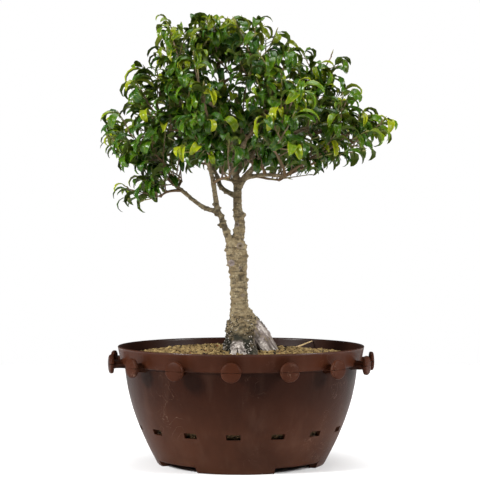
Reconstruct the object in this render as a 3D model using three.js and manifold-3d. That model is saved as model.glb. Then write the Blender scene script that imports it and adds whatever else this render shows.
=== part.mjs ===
// A small-leaved fig grown as a bonsai in a round brown training pot. Millimetres, +Z up, front towards -Y.
// The origin is on the ground at the pot's axis.
import * as THREE from "three";
import { mergeVertices } from "three/addons/utils/BufferGeometryUtils.js";
import Module from "manifold-3d";

const wasm = await Module();
wasm.setup();

// ---- Driving sizes ----

const GAP = 0.3; // left between pieces that touch
const SMALLEST = 0.05; // detail finer than this is smoothed away

// Pot
const POT_HEIGHT = 123;
const RIM_RADIUS = 130;
const WALL = 3;
const BAND_HEIGHT = 18.5;
const BAND_TAPER = 4; // the band's lower edge is this much narrower than the rim
const BAND_LEDGE = 3.5; // and stands out this much from the wall
const FOOT_RADIUS = 88;
const FOOT_WIDTH = 8;
const FOOT_HEIGHT = 6;
const FLOOR = 3;
const POT_TURN = -4; // degrees, first knob from the front, towards -X
const KNOB_COUNT = 15;
const POT_SIDES = 3 * KNOB_COUNT; // facets round the pot
const KNOB_DROP = 17; // centre of a knob below the rim
const KNOB_STAND = 11; // outermost face beyond the rim
const KNOB_HEAD_RADIUS = 10;
const KNOB_HEAD_THICK = 5;
const KNOB_STEM_RADIUS = 4.6;
const SLOT_WIDTH = 14;
const SLOT_TALL = 5.5;
const SLOT_HEIGHT = 39.5;
const FOOT_COUNT = 4;
const FOOT_NOTCH = 38; // degrees between two feet
const FOOT_SKIRT = 2; // from the ground to where the wall begins its curve
const DRAIN_RADIUS = 6;
const DRAIN_RING = 48;
const DRAIN_COUNT = 6;

// Soil
const SOIL_BELOW_RIM = 11; // at the wall
const SOIL_MOUND = 10; // higher at the trunk than at the wall

// Wood
const TRUNK_HEIGHT = 114; // soil to the fork
const TRUNK_RADIUS = 9.3;
const ROOT_FLARE = 19; // radius of the swollen base at the soil
const FLARE_HEIGHT = 22; // over which the base swells
const ROOT_DEPTH = 38; // wood below the soil's surface
const CROWN_HEIGHT = 237; // fork to the topmost leaf
const CROWN_HALF_WIDTH = 155;
const CROWN_HALF_DEPTH = 136;
const LEADER_RADIUS = 5.6;
const LIMB_RADIUS = 3.6;
const LIMB_END_RADIUS = 2.2;
const BRANCH_RADIUS = 1.9;
const SEAT_RADIUS = 1.5; // where a leafy shoot begins

// Leafy shoots
const SHOOT_LENGTH = 38;
const SHOOT_TIP_RADIUS = 0.8;
const LEAVES_PER_SHOOT = 11;
const LEAF_LENGTH = 31; // stalk and blade, along the curve
const LEAF_WIDTH = 11.5;
const LEAF_THICK = 0.9;
const LEAF_CURL = 115; // degrees from base to tip

// Fallen twig
const TWIG_RADIUS = 1.2;
const TWIG_TURN = 50; // degrees round the pot, from +X towards +Y
const TWIG_DROP = 2; // its high end below the rim
const TWIG_LIE = 24; // its low end in from the wall

// Facets
const LIMB_STEP = 22; // length of one facet
const BRANCH_STEP = 30;
const STEM_TRIES = 60; // directions tried for a clear stem
const LEAF_TRIES = 14; // turns tried for a clear leaf
const GOLDEN_TURN = 137.5; // degrees from one leaf to the next

// ---- Tools ----

const degrees = THREE.MathUtils.degToRad;

/** A repeatable stream of numbers from 0 to 1. */
function dice(seed) {
  let state = seed;
  return () => {
    state = (state + 0x6d2b79f5) | 0;
    let t = Math.imul(state ^ (state >>> 15), 1 | state);
    t = (t + Math.imul(t ^ (t >>> 7), 61 | t)) ^ t;
    return ((t ^ (t >>> 14)) >>> 0) / 4294967296;
  };
}

/** A closed three.js geometry as a manifold-3d solid. */
function solidFrom(geometry) {
  const bare = geometry.clone();
  bare.deleteAttribute("normal");
  bare.deleteAttribute("uv");
  const merged = mergeVertices(bare, 1e-4);
  return new wasm.Manifold(
    new wasm.Mesh({
      numProp: 3,
      vertProperties: merged.attributes.position.array,
      triVerts: new Uint32Array(merged.index.array),
    }),
  );
}

/** A manifold-3d solid as a three.js geometry. */
function geometryFrom(solid) {
  const mesh = solid.getMesh();
  const geometry = new THREE.BufferGeometry();
  geometry.setAttribute("position", new THREE.BufferAttribute(mesh.vertProperties, mesh.numProp));
  geometry.setIndex(new THREE.BufferAttribute(mesh.triVerts, 1));
  geometry.computeVertexNormals();
  return geometry;
}

/** A solid turned about Z by the profile (radius, height), from its first point on the axis to its last. */
function turned(profile, segments) {
  const points = profile.map(([radius, height]) => new THREE.Vector2(radius, height));
  return solidFrom(new THREE.LatheGeometry(points, segments).rotateX(Math.PI / 2));
}

/** A closed skin over rings of points, drawn to a point at each end. */
function loft(start, rings, end) {
  const sides = rings[0].length;
  const points = [start, ...rings.flat(), end];
  const last = points.length - 1;
  const faces = [];
  for (let side = 0; side < sides; side++) {
    const next = (side + 1) % sides;
    faces.push(0, 1 + next, 1 + side);
    for (let ring = 0; ring < rings.length - 1; ring++) {
      const low = 1 + ring * sides;
      const high = low + sides;
      faces.push(low + side, low + next, high + next);
      faces.push(low + side, high + next, high + side);
    }
    const top = 1 + (rings.length - 1) * sides;
    faces.push(last, top + side, top + next);
  }
  const geometry = new THREE.BufferGeometry().setFromPoints(points);
  geometry.setIndex(faces);
  return solidFrom(geometry);
}

/** A round limb along a curve, with its radius given by radiusAt(0 to 1); extra swells it all over. */
function limb(curve, radiusAt, segments, sides, extra = 0) {
  const frames = curve.computeFrenetFrames(segments, false);
  const centres = frames.tangents.map((tangent, i) => {
    const push = i === 0 ? -extra : i === segments ? extra : 0;
    return curve.getPointAt(i / segments).addScaledVector(tangent, push);
  });
  const rings = [];
  for (let i = 0; i <= segments; i++) {
    const centre = centres[i];
    const radius = radiusAt(i / segments) + extra;
    const ring = [];
    for (let side = 0; side < sides; side++) {
      const turn = (2 * Math.PI * side) / sides;
      const point = centre.clone();
      point.addScaledVector(frames.normals[i], radius * Math.cos(turn));
      point.addScaledVector(frames.binormals[i], radius * Math.sin(turn));
      ring.push(point);
    }
    rings.push(ring);
  }
  return loft(centres[0], rings, centres[segments]);
}

/** A limb's radius falling evenly from one end to the other. */
function taper(from, to) {
  return (share) => from + (to - from) * share;
}

/** Whether a solid keeps the gap from every solid of a list whose box is near. */
function clearOf(item, others) {
  return others.every((other) => {
    const beyond = (low, high) => [0, 1, 2].some((axis) => high.min[axis] > low.max[axis] + GAP);
    if (beyond(item.box, other.box) || beyond(other.box, item.box)) return true;
    return item.solid.minGap(other.solid, 2 * GAP) >= GAP * 0.98;
  });
}

/** A solid with its box, for clearOf. */
function boxed(solid) {
  return { solid, box: solid.boundingBox() };
}

// ---- Pot ----

const BAND_BOTTOM = POT_HEIGHT - BAND_HEIGHT;
const SHOULDER_RADIUS = RIM_RADIUS - BAND_TAPER - BAND_LEDGE; // wall just under the band
const FLOOR_TOP = FOOT_HEIGHT + FLOOR;

/** The wall's outline between the foot and the band, set in by an amount. */
function wallCurve(inset, bottom) {
  return new THREE.CubicBezierCurve(
    new THREE.Vector2(FOOT_RADIUS + 1 - inset, bottom),
    new THREE.Vector2(FOOT_RADIUS + 16 - inset, bottom + BAND_BOTTOM * 0.26),
    new THREE.Vector2(SHOULDER_RADIUS - 2.5 - inset, BAND_BOTTOM * 0.6),
    new THREE.Vector2(SHOULDER_RADIUS - inset, BAND_BOTTOM),
  );
}

/** Points of a curve, as radius and height. */
function outline(curve, steps) {
  return curve.getPoints(steps).map((point) => [point.x, point.y]);
}

/** The inside of the pot from the floor to the rim, set in by an amount. */
function insideOutline(inset) {
  return [
    ...outline(wallCurve(WALL + inset, FLOOR_TOP + inset), 4),
    [RIM_RADIUS - WALL - inset, POT_HEIGHT],
  ];
}

/** A solid on the +X side carried round the pot, once for each knob or foot. */
function around(solid, count, turn) {
  return wasm.Manifold.union(
    Array.from({ length: count }, (_, i) => solid.rotate([0, 0, turn + (360 / count) * i])),
  );
}

/** The pot, as it leaves its mould. */
function makePot() {
  const front = -90 + POT_TURN;
  const shell = turned(
    [
      [0, FOOT_HEIGHT],
      [FOOT_RADIUS - FOOT_WIDTH, FOOT_HEIGHT],
      [FOOT_RADIUS - FOOT_WIDTH, 0],
      [FOOT_RADIUS, 0],
      ...outline(wallCurve(0, FOOT_SKIRT), 5),
      [RIM_RADIUS - BAND_TAPER, BAND_BOTTOM + 0.6],
      [RIM_RADIUS, POT_HEIGHT],
      ...insideOutline(0).reverse(),
      [0, FLOOR_TOP],
    ],
    POT_SIDES,
  );

  const knobFace = RIM_RADIUS + KNOB_STAND;
  const headBack = knobFace - KNOB_HEAD_THICK;
  const knobRoot = RIM_RADIUS - BAND_TAPER - BAND_LEDGE - 0.1 * WALL;
  const knob = turned(
    [
      [0, knobRoot],
      [KNOB_STEM_RADIUS, knobRoot],
      [KNOB_STEM_RADIUS, headBack],
      [KNOB_HEAD_RADIUS, headBack + 1],
      [KNOB_HEAD_RADIUS * 0.9, knobFace - 1.5],
      [0, knobFace],
    ],
    10,
  )
    .rotate([0, 90, 0])
    .translate([0, 0, POT_HEIGHT - KNOB_DROP]);

  const atSlot = outline(wallCurve(WALL / 2, FOOT_SKIRT), 60).find(([, height]) => height > SLOT_HEIGHT);
  const slot = solidFrom(new THREE.BoxGeometry(8 * WALL, SLOT_WIDTH, SLOT_TALL)).translate([
    atSlot[0],
    0,
    SLOT_HEIGHT,
  ]);

  const half = degrees(FOOT_NOTCH / 2);
  const wedge = new THREE.Shape();
  wedge.absarc(0, 0, FOOT_RADIUS + FOOT_WIDTH, -half, half, false);
  wedge.absarc(0, 0, FOOT_RADIUS - 2 * FOOT_WIDTH, half, -half, true);
  const notch = solidFrom(
    new THREE.ExtrudeGeometry(wedge, { depth: FOOT_HEIGHT, bevelEnabled: false, curveSegments: 3 }),
  ).translate([0, 0, -0.5]);

  const drain = solidFrom(
    new THREE.CylinderGeometry(DRAIN_RADIUS, DRAIN_RADIUS, 4 * FLOOR, 8).rotateX(Math.PI / 2),
  ).translate([0, 0, FOOT_HEIGHT + FLOOR / 2]);

  return shell
    .add(around(knob, KNOB_COUNT, front))
    .subtract(around(slot, KNOB_COUNT, front))
    .subtract(around(notch, FOOT_COUNT, front + 180 / FOOT_COUNT))
    .subtract(around(drain.translate([DRAIN_RING, 0, 0]), DRAIN_COUNT, 0))
    .subtract(drain);
}

// ---- Soil ----

const SOIL_EDGE = POT_HEIGHT - SOIL_BELOW_RIM;
const SOIL_RADIUS = SHOULDER_RADIUS - WALL - GAP; // where the mound ends
const SOIL_RINGS = 3;

/** The mound's height at a share of the way from the pot's axis to its wall, level at both ends. */
function moundHeight(share) {
  return SOIL_EDGE + (SOIL_MOUND * (1 + Math.cos(Math.PI * share))) / 2;
}

/** The soil's height at a distance from the pot's axis, on the flat facets between its rings. */
function soilHeight(radius) {
  const steps = SOIL_RINGS * Math.min(radius / SOIL_RADIUS, 1);
  const ring = Math.min(Math.floor(steps), SOIL_RINGS - 1);
  const rest = steps - ring;
  return moundHeight(ring / SOIL_RINGS) * (1 - rest) + moundHeight((ring + 1) / SOIL_RINGS) * rest;
}

/** The soil's whole body, before the wood takes its place in it: the pot's inside, up to the mound. */
function soilBody() {
  const inside = turned([[0, FLOOR_TOP + GAP], ...insideOutline(GAP), [0, POT_HEIGHT]], POT_SIDES);
  const surface = [];
  for (let ring = SOIL_RINGS; ring >= 0; ring--) {
    const share = ring / SOIL_RINGS;
    surface.push([SOIL_RADIUS * share, moundHeight(share)]);
  }
  const below = turned([[0, 0], [RIM_RADIUS, 0], [RIM_RADIUS, SOIL_EDGE], ...surface], POT_SIDES);
  return inside.intersect(below);
}

// ---- Wood ----

const SOIL_TOP = soilHeight(0);
const FORK = new THREE.Vector3(-5.3, 0, SOIL_TOP + TRUNK_HEIGHT);

/** A place in the crown: shares of its half width and half depth from the fork, and of its height. */
function crown(x, y, z) {
  return new THREE.Vector3(FORK.x + x * CROWN_HALF_WIDTH, y * CROWN_HALF_DEPTH, FORK.z + z * CROWN_HEIGHT);
}

/** A smooth curve through places in the crown. */
function crownCurve(places) {
  return new THREE.CatmullRomCurve3(places.map((place) => crown(...place)));
}

/** The trunk, from the root below the soil to the fork; extra swells it all over. */
function trunkSolid(extra) {
  const bends = [
    [4, 0, -ROOT_DEPTH],
    [4, 0, 0],
    [1.6, 0, 0.25 * TRUNK_HEIGHT],
    [-1.4, 0, 0.4 * TRUNK_HEIGHT],
    [-2.6, 0, 0.65 * TRUNK_HEIGHT],
    [-4.2, 0, 0.85 * TRUNK_HEIGHT],
    [FORK.x, 0, TRUNK_HEIGHT - 8],
    [FORK.x + 2, 0, TRUNK_HEIGHT + 8],
  ];
  const curve = new THREE.CatmullRomCurve3(bends.map(([x, y, z]) => new THREE.Vector3(x, y, SOIL_TOP + z)));
  const length = curve.getLength();
  return limb(
    curve,
    (share) => {
      const above = share * length - ROOT_DEPTH;
      const flare = Math.exp(-((Math.max(above, 0) / FLARE_HEIGHT) ** 2));
      const root = THREE.MathUtils.smoothstep(-above, 0, ROOT_DEPTH);
      const narrow = THREE.MathUtils.smoothstep(above, TRUNK_HEIGHT - 12, TRUNK_HEIGHT + 8);
      const straight = TRUNK_RADIUS + (LEADER_RADIUS - TRUNK_RADIUS) * narrow;
      return straight + (ROOT_FLARE - TRUNK_RADIUS) * flare * (1 - 0.5 * root);
    },
    13,
    10,
    extra,
  );
}

/** The surface roots, each from the trunk's base down and out into the soil. */
function rootSolids(extra) {
  const roots = [
    { turn: -8, reach: 48, from: 12, rise: 24 },
    { turn: -62, reach: 38, from: 9, rise: 14 },
    { turn: -118, reach: 40, from: 9, rise: 14 },
    { turn: 185, reach: 42, from: 10, rise: 20 },
    { turn: 118, reach: 44, from: 9, rise: 12 },
    { turn: 55, reach: 42, from: 9, rise: 12 },
  ];
  return roots.map(({ turn, reach, from, rise }) => {
    const out = new THREE.Vector3(Math.cos(degrees(turn)), Math.sin(degrees(turn)), 0);
    const at = (distance, height) =>
      new THREE.Vector3(3, 0, SOIL_TOP + height).addScaledVector(out, distance);
    const curve = new THREE.CatmullRomCurve3([
      at(2, rise),
      at(0.35 * reach, 0.45 * rise),
      at(0.65 * reach, -0.25 * rise),
      at(reach, -0.65 * ROOT_DEPTH),
    ]);
    return limb(curve, taper(from, 2.5), 4, 6, extra);
  });
}

// Each limb: its places in the crown, and its radius at its base.
const LIMBS = [
  {
    places: [
      [0, 0, -0.02],
      [0.022, 0, 0.06],
      [0.007, 0, 0.14],
      [0.01, 0, 0.225],
      [-0.014, 0, 0.327],
      [-0.056, 0.046, 0.478],
      [-0.095, 0.03, 0.646],
      [-0.12, 0, 0.78],
    ],
    radius: LEADER_RADIUS,
  },
  {
    places: [
      [0.01, 0, 0.225],
      [0.09, 0, 0.293],
      [0.19, -0.06, 0.36],
      [0.344, -0.14, 0.444],
      [0.54, -0.22, 0.5],
    ],
    radius: LIMB_RADIUS,
  },
  {
    places: [
      [0, 0, -0.03],
      [-0.075, -0.02, 0.02],
      [-0.095, -0.03, 0.07],
      [-0.116, -0.04, 0.112],
      [-0.205, -0.06, 0.133],
      [-0.28, -0.077, 0.165],
      [-0.42, -0.1, 0.24],
    ],
    radius: LEADER_RADIUS * 0.85,
  },
  {
    places: [
      [-0.116, -0.04, 0.112],
      [-0.136, -0.06, 0.169],
      [-0.157, -0.138, 0.259],
      [-0.198, -0.23, 0.352],
      [-0.275, -0.338, 0.457],
    ],
    radius: LIMB_RADIUS,
  },
  {
    places: [
      [0.008, 0.015, 0.183],
      [-0.101, 0.092, 0.23],
      [-0.146, 0.23, 0.301],
      [-0.256, 0.4, 0.394],
    ],
    radius: LIMB_RADIUS,
  },
  {
    places: [
      [-0.005, 0, 0.289],
      [0.1, 0.17, 0.373],
      [0.215, 0.385, 0.47],
    ],
    radius: LIMB_RADIUS,
  },
  {
    places: [
      [-0.017, 0, 0.343],
      [0.073, -0.17, 0.43],
      [0.176, -0.37, 0.53],
    ],
    radius: LIMB_RADIUS,
  },
  {
    places: [
      [-0.056, 0.046, 0.478],
      [0.11, 0.06, 0.583],
      [0.29, 0.09, 0.68],
    ],
    radius: LIMB_RADIUS,
  },
  {
    places: [
      [-0.069, 0.038, 0.529],
      [-0.224, 0, 0.625],
      [-0.366, -0.04, 0.697],
    ],
    radius: LIMB_RADIUS,
  },
  {
    places: [
      [0.09, 0, 0.285],
      [0.228, -0.12, 0.28],
      [0.41, -0.23, 0.293],
    ],
    radius: LIMB_RADIUS * 0.8,
  },
];

// Snags and stubs of pruned branches: place, direction, length.
const STUBS = [
  { place: [0.035, 0, 0.1], out: [1, -0.3, 0.35], length: 7, radius: 2.6 },
  { place: [-0.02, 0, -0.04], out: [1, -0.4, 0.5], length: 13, radius: 3.2 },
  { place: [0, 0, -0.2], out: [1, -0.2, 0.3], length: 13, radius: 3 },
  { place: [0, 0, -0.01], out: [-1, -0.5, 0.6], length: 12, radius: 3 },
  { place: [0.005, 0, 0.24], out: [-1, -0.3, 0.7], length: 14, radius: 1.3 },
];

// ---- Leafy shoots ----

// Rings of shoot tips round the crown: height, centre and half width as shares, how many, first one's turn,
// and the shoots' rise above level in degrees.
const RINGS = [
  { z: 0.27, x: -0.04, half: 0.68, count: 6, turn: 30, rise: -22 },
  { z: 0.43, x: 0.06, half: 0.94, count: 9, turn: 8, rise: 0 },
  { z: 0.59, x: 0.05, half: 0.81, count: 8, turn: 25, rise: 22 },
  { z: 0.735, x: 0.02, half: 0.69, count: 6, turn: 0, rise: 42 },
  { z: 0.9, x: -0.1, half: 0.47, count: 4, turn: 40, rise: 62 },
  { z: 1.034, x: -0.12, half: 0.2, count: 3, turn: 15, rise: 80 },
  { z: 0.47, x: 0, half: 0.52, count: 3, turn: 60, rise: 35 },
  { z: 0.66, x: 0, half: 0.4, count: 2, turn: 100, rise: 55 },
];

// Single shoots that stand out of the outline: tip and direction.
const LONG_SHOOTS = [
  { tip: [1.033, -0.6, 0.475], out: [1, -0.35, 0.1] },
  { tip: [-0.97, 0.6, 0.44], out: [-1, 0.5, 0.05] },
  { tip: [0.74, 0, 0.84], out: [0.9, 0, 0.55] },
  { tip: [-0.8, -0.2, 0.16], out: [-1, -0.2, -0.45] },
];

/** Every shoot's tip and direction. */
function shootPlan() {
  const plan = LONG_SHOOTS.map(({ tip, out }) => ({
    tip: crown(...tip),
    out: new THREE.Vector3(...out).normalize(),
  }));
  for (const { z, x, half, count, turn, rise } of RINGS) {
    for (let i = 0; i < count; i++) {
      const angle = degrees(turn + (360 / count) * i);
      const tip = crown(x + half * Math.cos(angle), half * Math.sin(angle), z);
      const out = new THREE.Vector3(Math.cos(angle), Math.sin(angle), Math.tan(degrees(rise)));
      plan.push({ tip, out: out.normalize() });
    }
  }
  return plan;
}

/** The place on a limb that a branch to the seat leaves from: near, and behind the seat. */
function anchorFor(seat, out, spines) {
  let best = null;
  let least = Infinity;
  for (const spine of spines) {
    for (const place of spine) {
      const way = seat.clone().sub(place);
      const distance = way.length();
      const ahead = way.dot(out) / distance;
      const cost = distance * (1.6 - ahead);
      if (cost < least) {
        least = cost;
        best = place;
      }
    }
  }
  return best;
}

/** A leaf as a thin closed blade with a keel, whose midrib bends from its direction towards down. */
function leafSolid(base, out, down, length, width) {
  const fall = down.clone().addScaledVector(out, -down.dot(out)).normalize();
  const side = out.clone().cross(fall);
  const steps = 24;
  const places = [];
  const point = base.clone();
  for (let i = 0; i <= steps; i++) {
    const bend = degrees(LEAF_CURL) * (i / steps);
    const along = out.clone().multiplyScalar(Math.cos(bend)).addScaledVector(fall, Math.sin(bend));
    const upper = out.clone().multiplyScalar(Math.sin(bend)).addScaledVector(fall, -Math.cos(bend));
    places.push({ point: point.clone(), upper });
    point.addScaledVector(along, length / steps);
  }
  const ring = (share, spread) => {
    const { point: centre, upper } = places[Math.round(share * steps)];
    return [
      centre.clone().addScaledVector(side, spread / 2),
      centre.clone().addScaledVector(side, -spread / 2),
      centre.clone().addScaledVector(upper, -LEAF_THICK),
    ];
  };
  const rings = [ring(0.25, 0.22 * width), ring(0.55, width)];
  return loft(places[0].point, rings, places[steps].point);
}

/** The branch to a shoot's seat and the shoot's own stem, a gap beyond it. */
function stemFor({ tip, out }, spines) {
  const top = tip.clone().addScaledVector(out, -0.45 * LEAF_LENGTH);
  const seat = top.clone().addScaledVector(out, -SHOOT_LENGTH);
  const anchor = anchorFor(seat, out, spines);
  const reach = seat.distanceTo(anchor);
  const curve = new THREE.QuadraticBezierCurve3(
    anchor,
    seat.clone().addScaledVector(out, -0.45 * reach),
    seat,
  );
  const start = seat.clone().addScaledVector(out, GAP);
  const steps = Math.max(2, Math.round(reach / BRANCH_STEP));
  const branch = limb(curve, taper(BRANCH_RADIUS, SEAT_RADIUS), steps, 5);
  const stem = limb(new THREE.LineCurve3(start, top), taper(SEAT_RADIUS, SHOOT_TIP_RADIUS), 1, 4);
  return { start, top, branch: boxed(branch), stem: boxed(stem) };
}

/** Turns a direction by up to spread, as a share of its length. */
function jitter(direction, spread, roll) {
  const nudge = new THREE.Vector3(roll() - 0.5, roll() - 0.5, roll() - 0.5);
  return direction.clone().addScaledVector(nudge, 2 * spread).normalize();
}

/** The tree's wood, and the shoots that stand on it, each a list of solids that belong together. */
function growTree() {
  const roll = dice(7);
  const spines = [];
  const wood = [trunkSolid(0), ...rootSolids(0)].map(boxed);
  for (const { places, radius } of LIMBS) {
    const curve = crownCurve(places);
    const steps = Math.round(curve.getLength() / LIMB_STEP) + 2;
    wood.push(boxed(limb(curve, taper(radius, LIMB_END_RADIUS), steps, 6)));
    spines.push(curve.getSpacedPoints(steps).slice(2));
  }
  for (const { place, out, length, radius } of STUBS) {
    const from = crown(...place);
    const to = from.clone().addScaledVector(new THREE.Vector3(...out).normalize(), length);
    wood.push(boxed(limb(new THREE.LineCurve3(from, to), taper(radius, 0.75 * radius), 1, 6)));
  }

  const shoots = [];
  for (const plan of shootPlan()) {
    let grown = stemFor(plan, spines);
    for (let attempt = 0; attempt < STEM_TRIES; attempt++) {
      const stems = shoots.map((shoot) => shoot.solids[0]);
      if (clearOf(grown.stem, wood) && clearOf(grown.stem, stems) && clearOf(grown.branch, stems)) break;
      grown = stemFor({ tip: plan.tip, out: jitter(plan.out, 0.05 + attempt * 0.01, roll) }, spines);
    }
    wood.push(grown.branch);
    shoots.push({ start: grown.start, top: grown.top, solids: [grown.stem] });
  }

  const trunk = boxed(wasm.Manifold.union(wood.map((piece) => piece.solid)));
  shoots.forEach((shoot, index) => {
    const others = shoots.filter((other) => other !== shoot).flatMap((other) => other.solids);
    const solids = growLeaves(shoot, [trunk, ...others], dice(100 + index));
    shoot.solids.push(...solids);
  });
  return { trunk: trunk.solid, shoots };
}

/** One shoot's leaves, set spirally along the stem, each turned until it is clear of everything else. */
function growLeaves({ start, top }, others, roll) {
  const axis = top.clone().sub(start);
  const out = axis.clone().normalize();
  const reference = new THREE.Vector3(0.3, 0.2, 0.1).cross(out);
  const across = out.clone().cross(reference).normalize();
  const firstTurn = roll() * 360;
  const leaves = [];
  for (let i = 0; i < LEAVES_PER_SHOOT; i++) {
    const share = 0.1 + (0.88 * i) / (LEAVES_PER_SHOOT - 1);
    const base = start.clone().addScaledVector(axis, share);
    for (let attempt = 0; attempt < LEAF_TRIES; attempt++) {
      const turn = degrees(firstTurn + GOLDEN_TURN * i + attempt * 29);
      const away = across.clone().applyAxisAngle(out, turn);
      const heading = jitter(away.addScaledVector(out, 0.5 + 0.5 * share), 0.15, roll);
      const down = jitter(new THREE.Vector3(0, 0, -1), 0.2, roll);
      const length = LEAF_LENGTH * (0.8 + 0.3 * roll()) * (attempt > 0.7 * LEAF_TRIES ? 0.7 : 1);
      const leaf = boxed(leafSolid(base, heading, down, length, LEAF_WIDTH * (0.85 + 0.25 * roll())));
      if (clearOf(leaf, others)) {
        leaves.push(leaf);
        break;
      }
    }
  }
  return leaves;
}

// ---- Fallen twig ----

/** A dry twig whose low end lies on the soil and whose high end leans on the inside of the band. */
function twigSolid() {
  const turn = degrees(TWIG_TURN);
  const out = new THREE.Vector3(Math.cos(turn), Math.sin(turn), 0);
  const onSoil = (radius) =>
    out.clone().multiplyScalar(radius).setZ(soilHeight(radius) + TWIG_RADIUS + 1.2 * GAP);
  const slope = (RIM_RADIUS - SHOULDER_RADIUS) / BAND_HEIGHT;
  const bandInside = (RIM_RADIUS - WALL - TWIG_DROP * slope) * Math.cos(Math.PI / POT_SIDES);
  const lean = bandInside - GAP - 0.6 * TWIG_RADIUS;
  const curve = new THREE.CatmullRomCurve3([
    onSoil(SOIL_RADIUS - TWIG_LIE),
    onSoil(SOIL_RADIUS - 0.5 * TWIG_LIE).add(new THREE.Vector3(0, 0, 2)),
    out.clone().multiplyScalar(lean).setZ(POT_HEIGHT - TWIG_DROP),
  ]);
  return limb(curve, taper(TWIG_RADIUS, 0.6 * TWIG_RADIUS), 5, 6);
}

// ---- Assembly ----

const tree = growTree();
const fatWood = wasm.Manifold.union([trunkSolid(1.3 * GAP), ...rootSolids(1.3 * GAP)]);

const materials = {
  plastic: new THREE.MeshStandardMaterial({ color: 0x45291f, roughness: 0.42, metalness: 0 }),
  soil: new THREE.MeshStandardMaterial({ color: 0x816f4e, roughness: 0.95, metalness: 0 }),
  bark: new THREE.MeshStandardMaterial({ color: 0x7e7357, roughness: 0.85, metalness: 0 }),
  dryTwig: new THREE.MeshStandardMaterial({ color: 0xa18d66, roughness: 0.9, metalness: 0 }),
  leaf: new THREE.MeshStandardMaterial({ color: 0x38451b, roughness: 0.4, metalness: 0 }),
};

const bonsai = new THREE.Group();

function addPiece(name, solid, material) {
  const mesh = new THREE.Mesh(geometryFrom(solid.simplify(SMALLEST)), material.clone());
  mesh.name = name;
  bonsai.add(mesh);
}

addPiece("pot", makePot(), materials.plastic);
addPiece("soil", soilBody().subtract(fatWood), materials.soil);
addPiece("trunk", tree.trunk, materials.bark);
addPiece("fallen_twig", twigSolid(), materials.dryTwig);
tree.shoots.forEach(({ solids }, index) => {
  const shoot = wasm.Manifold.union(solids.map((piece) => piece.solid));
  addPiece(`leaf_shoot_${String(index + 1).padStart(2, "0")}`, shoot, materials.leaf);
});

export default bonsai;
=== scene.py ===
import math
from itertools import product

import bpy
import numpy as np
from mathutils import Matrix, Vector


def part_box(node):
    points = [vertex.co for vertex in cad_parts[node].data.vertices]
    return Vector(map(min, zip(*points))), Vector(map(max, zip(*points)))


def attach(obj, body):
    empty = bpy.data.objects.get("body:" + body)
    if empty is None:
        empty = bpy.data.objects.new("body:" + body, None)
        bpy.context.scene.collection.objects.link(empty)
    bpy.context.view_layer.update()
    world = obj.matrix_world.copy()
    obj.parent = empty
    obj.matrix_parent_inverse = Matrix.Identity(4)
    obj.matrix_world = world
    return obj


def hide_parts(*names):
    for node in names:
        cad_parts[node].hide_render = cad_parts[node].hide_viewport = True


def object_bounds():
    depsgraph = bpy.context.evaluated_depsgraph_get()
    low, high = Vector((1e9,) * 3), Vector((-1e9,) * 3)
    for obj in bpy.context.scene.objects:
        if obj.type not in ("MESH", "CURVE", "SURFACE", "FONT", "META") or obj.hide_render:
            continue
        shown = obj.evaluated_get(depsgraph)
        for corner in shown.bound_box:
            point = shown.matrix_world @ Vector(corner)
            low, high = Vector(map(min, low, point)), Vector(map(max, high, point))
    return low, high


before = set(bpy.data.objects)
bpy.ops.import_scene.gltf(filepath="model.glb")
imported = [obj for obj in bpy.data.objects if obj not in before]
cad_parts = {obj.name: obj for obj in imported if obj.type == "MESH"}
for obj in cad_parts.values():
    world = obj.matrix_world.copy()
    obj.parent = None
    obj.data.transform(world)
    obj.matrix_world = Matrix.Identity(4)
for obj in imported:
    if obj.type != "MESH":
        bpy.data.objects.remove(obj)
cad_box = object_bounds()


# ---- Studio ----
# A sheet of white paper in a white room, with square lamps high on the left, on the right and overhead. The
# room is darker behind the camera, so that plastic and leaves show their sheen at the edges, not the fronts.

CAMERA_PLACE = (0.0, -1.5, 0.230)
CAMERA_LENS = 106.4
SENSOR = 36.0
CAMERA_SHIFT = (-0.0021, 0.0083)
FLOOR_SIDE = 2.4
PAPER = (238, 238, 238)
ROOM_BEHIND_CAMERA = 0.09
ROOM_BEHIND_PLANT = 0.32
ROOM_OVERHEAD = 0.16
ROOM_IN_SHEEN = 0.12
# Each lamp: its name, its place, the side of its square and its watts.
LAMPS = [
    ("lamp_left", (-1.7, -1.0, 1.15), 0.5, 84.0),
    ("lamp_right", (1.85, -0.75, 1.05), 0.7, 66.0),
    ("lamp_top", (0.1, 0.2, 2.0), 1.4, 30.0),
]
LAMP_AIM = (0.0, 0.0, 0.22)


def paint(red, green, blue):
    """A shader colour from the 0 to 255 numbers of a colour chart, by the usual screen curve."""
    shares = np.array([red, green, blue]) / 255
    linear = np.where(shares > 0.04045, ((shares + 0.055) / 1.055) ** 2.4, shares / 12.92)
    return (*linear.tolist(), 1.0)


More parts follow.
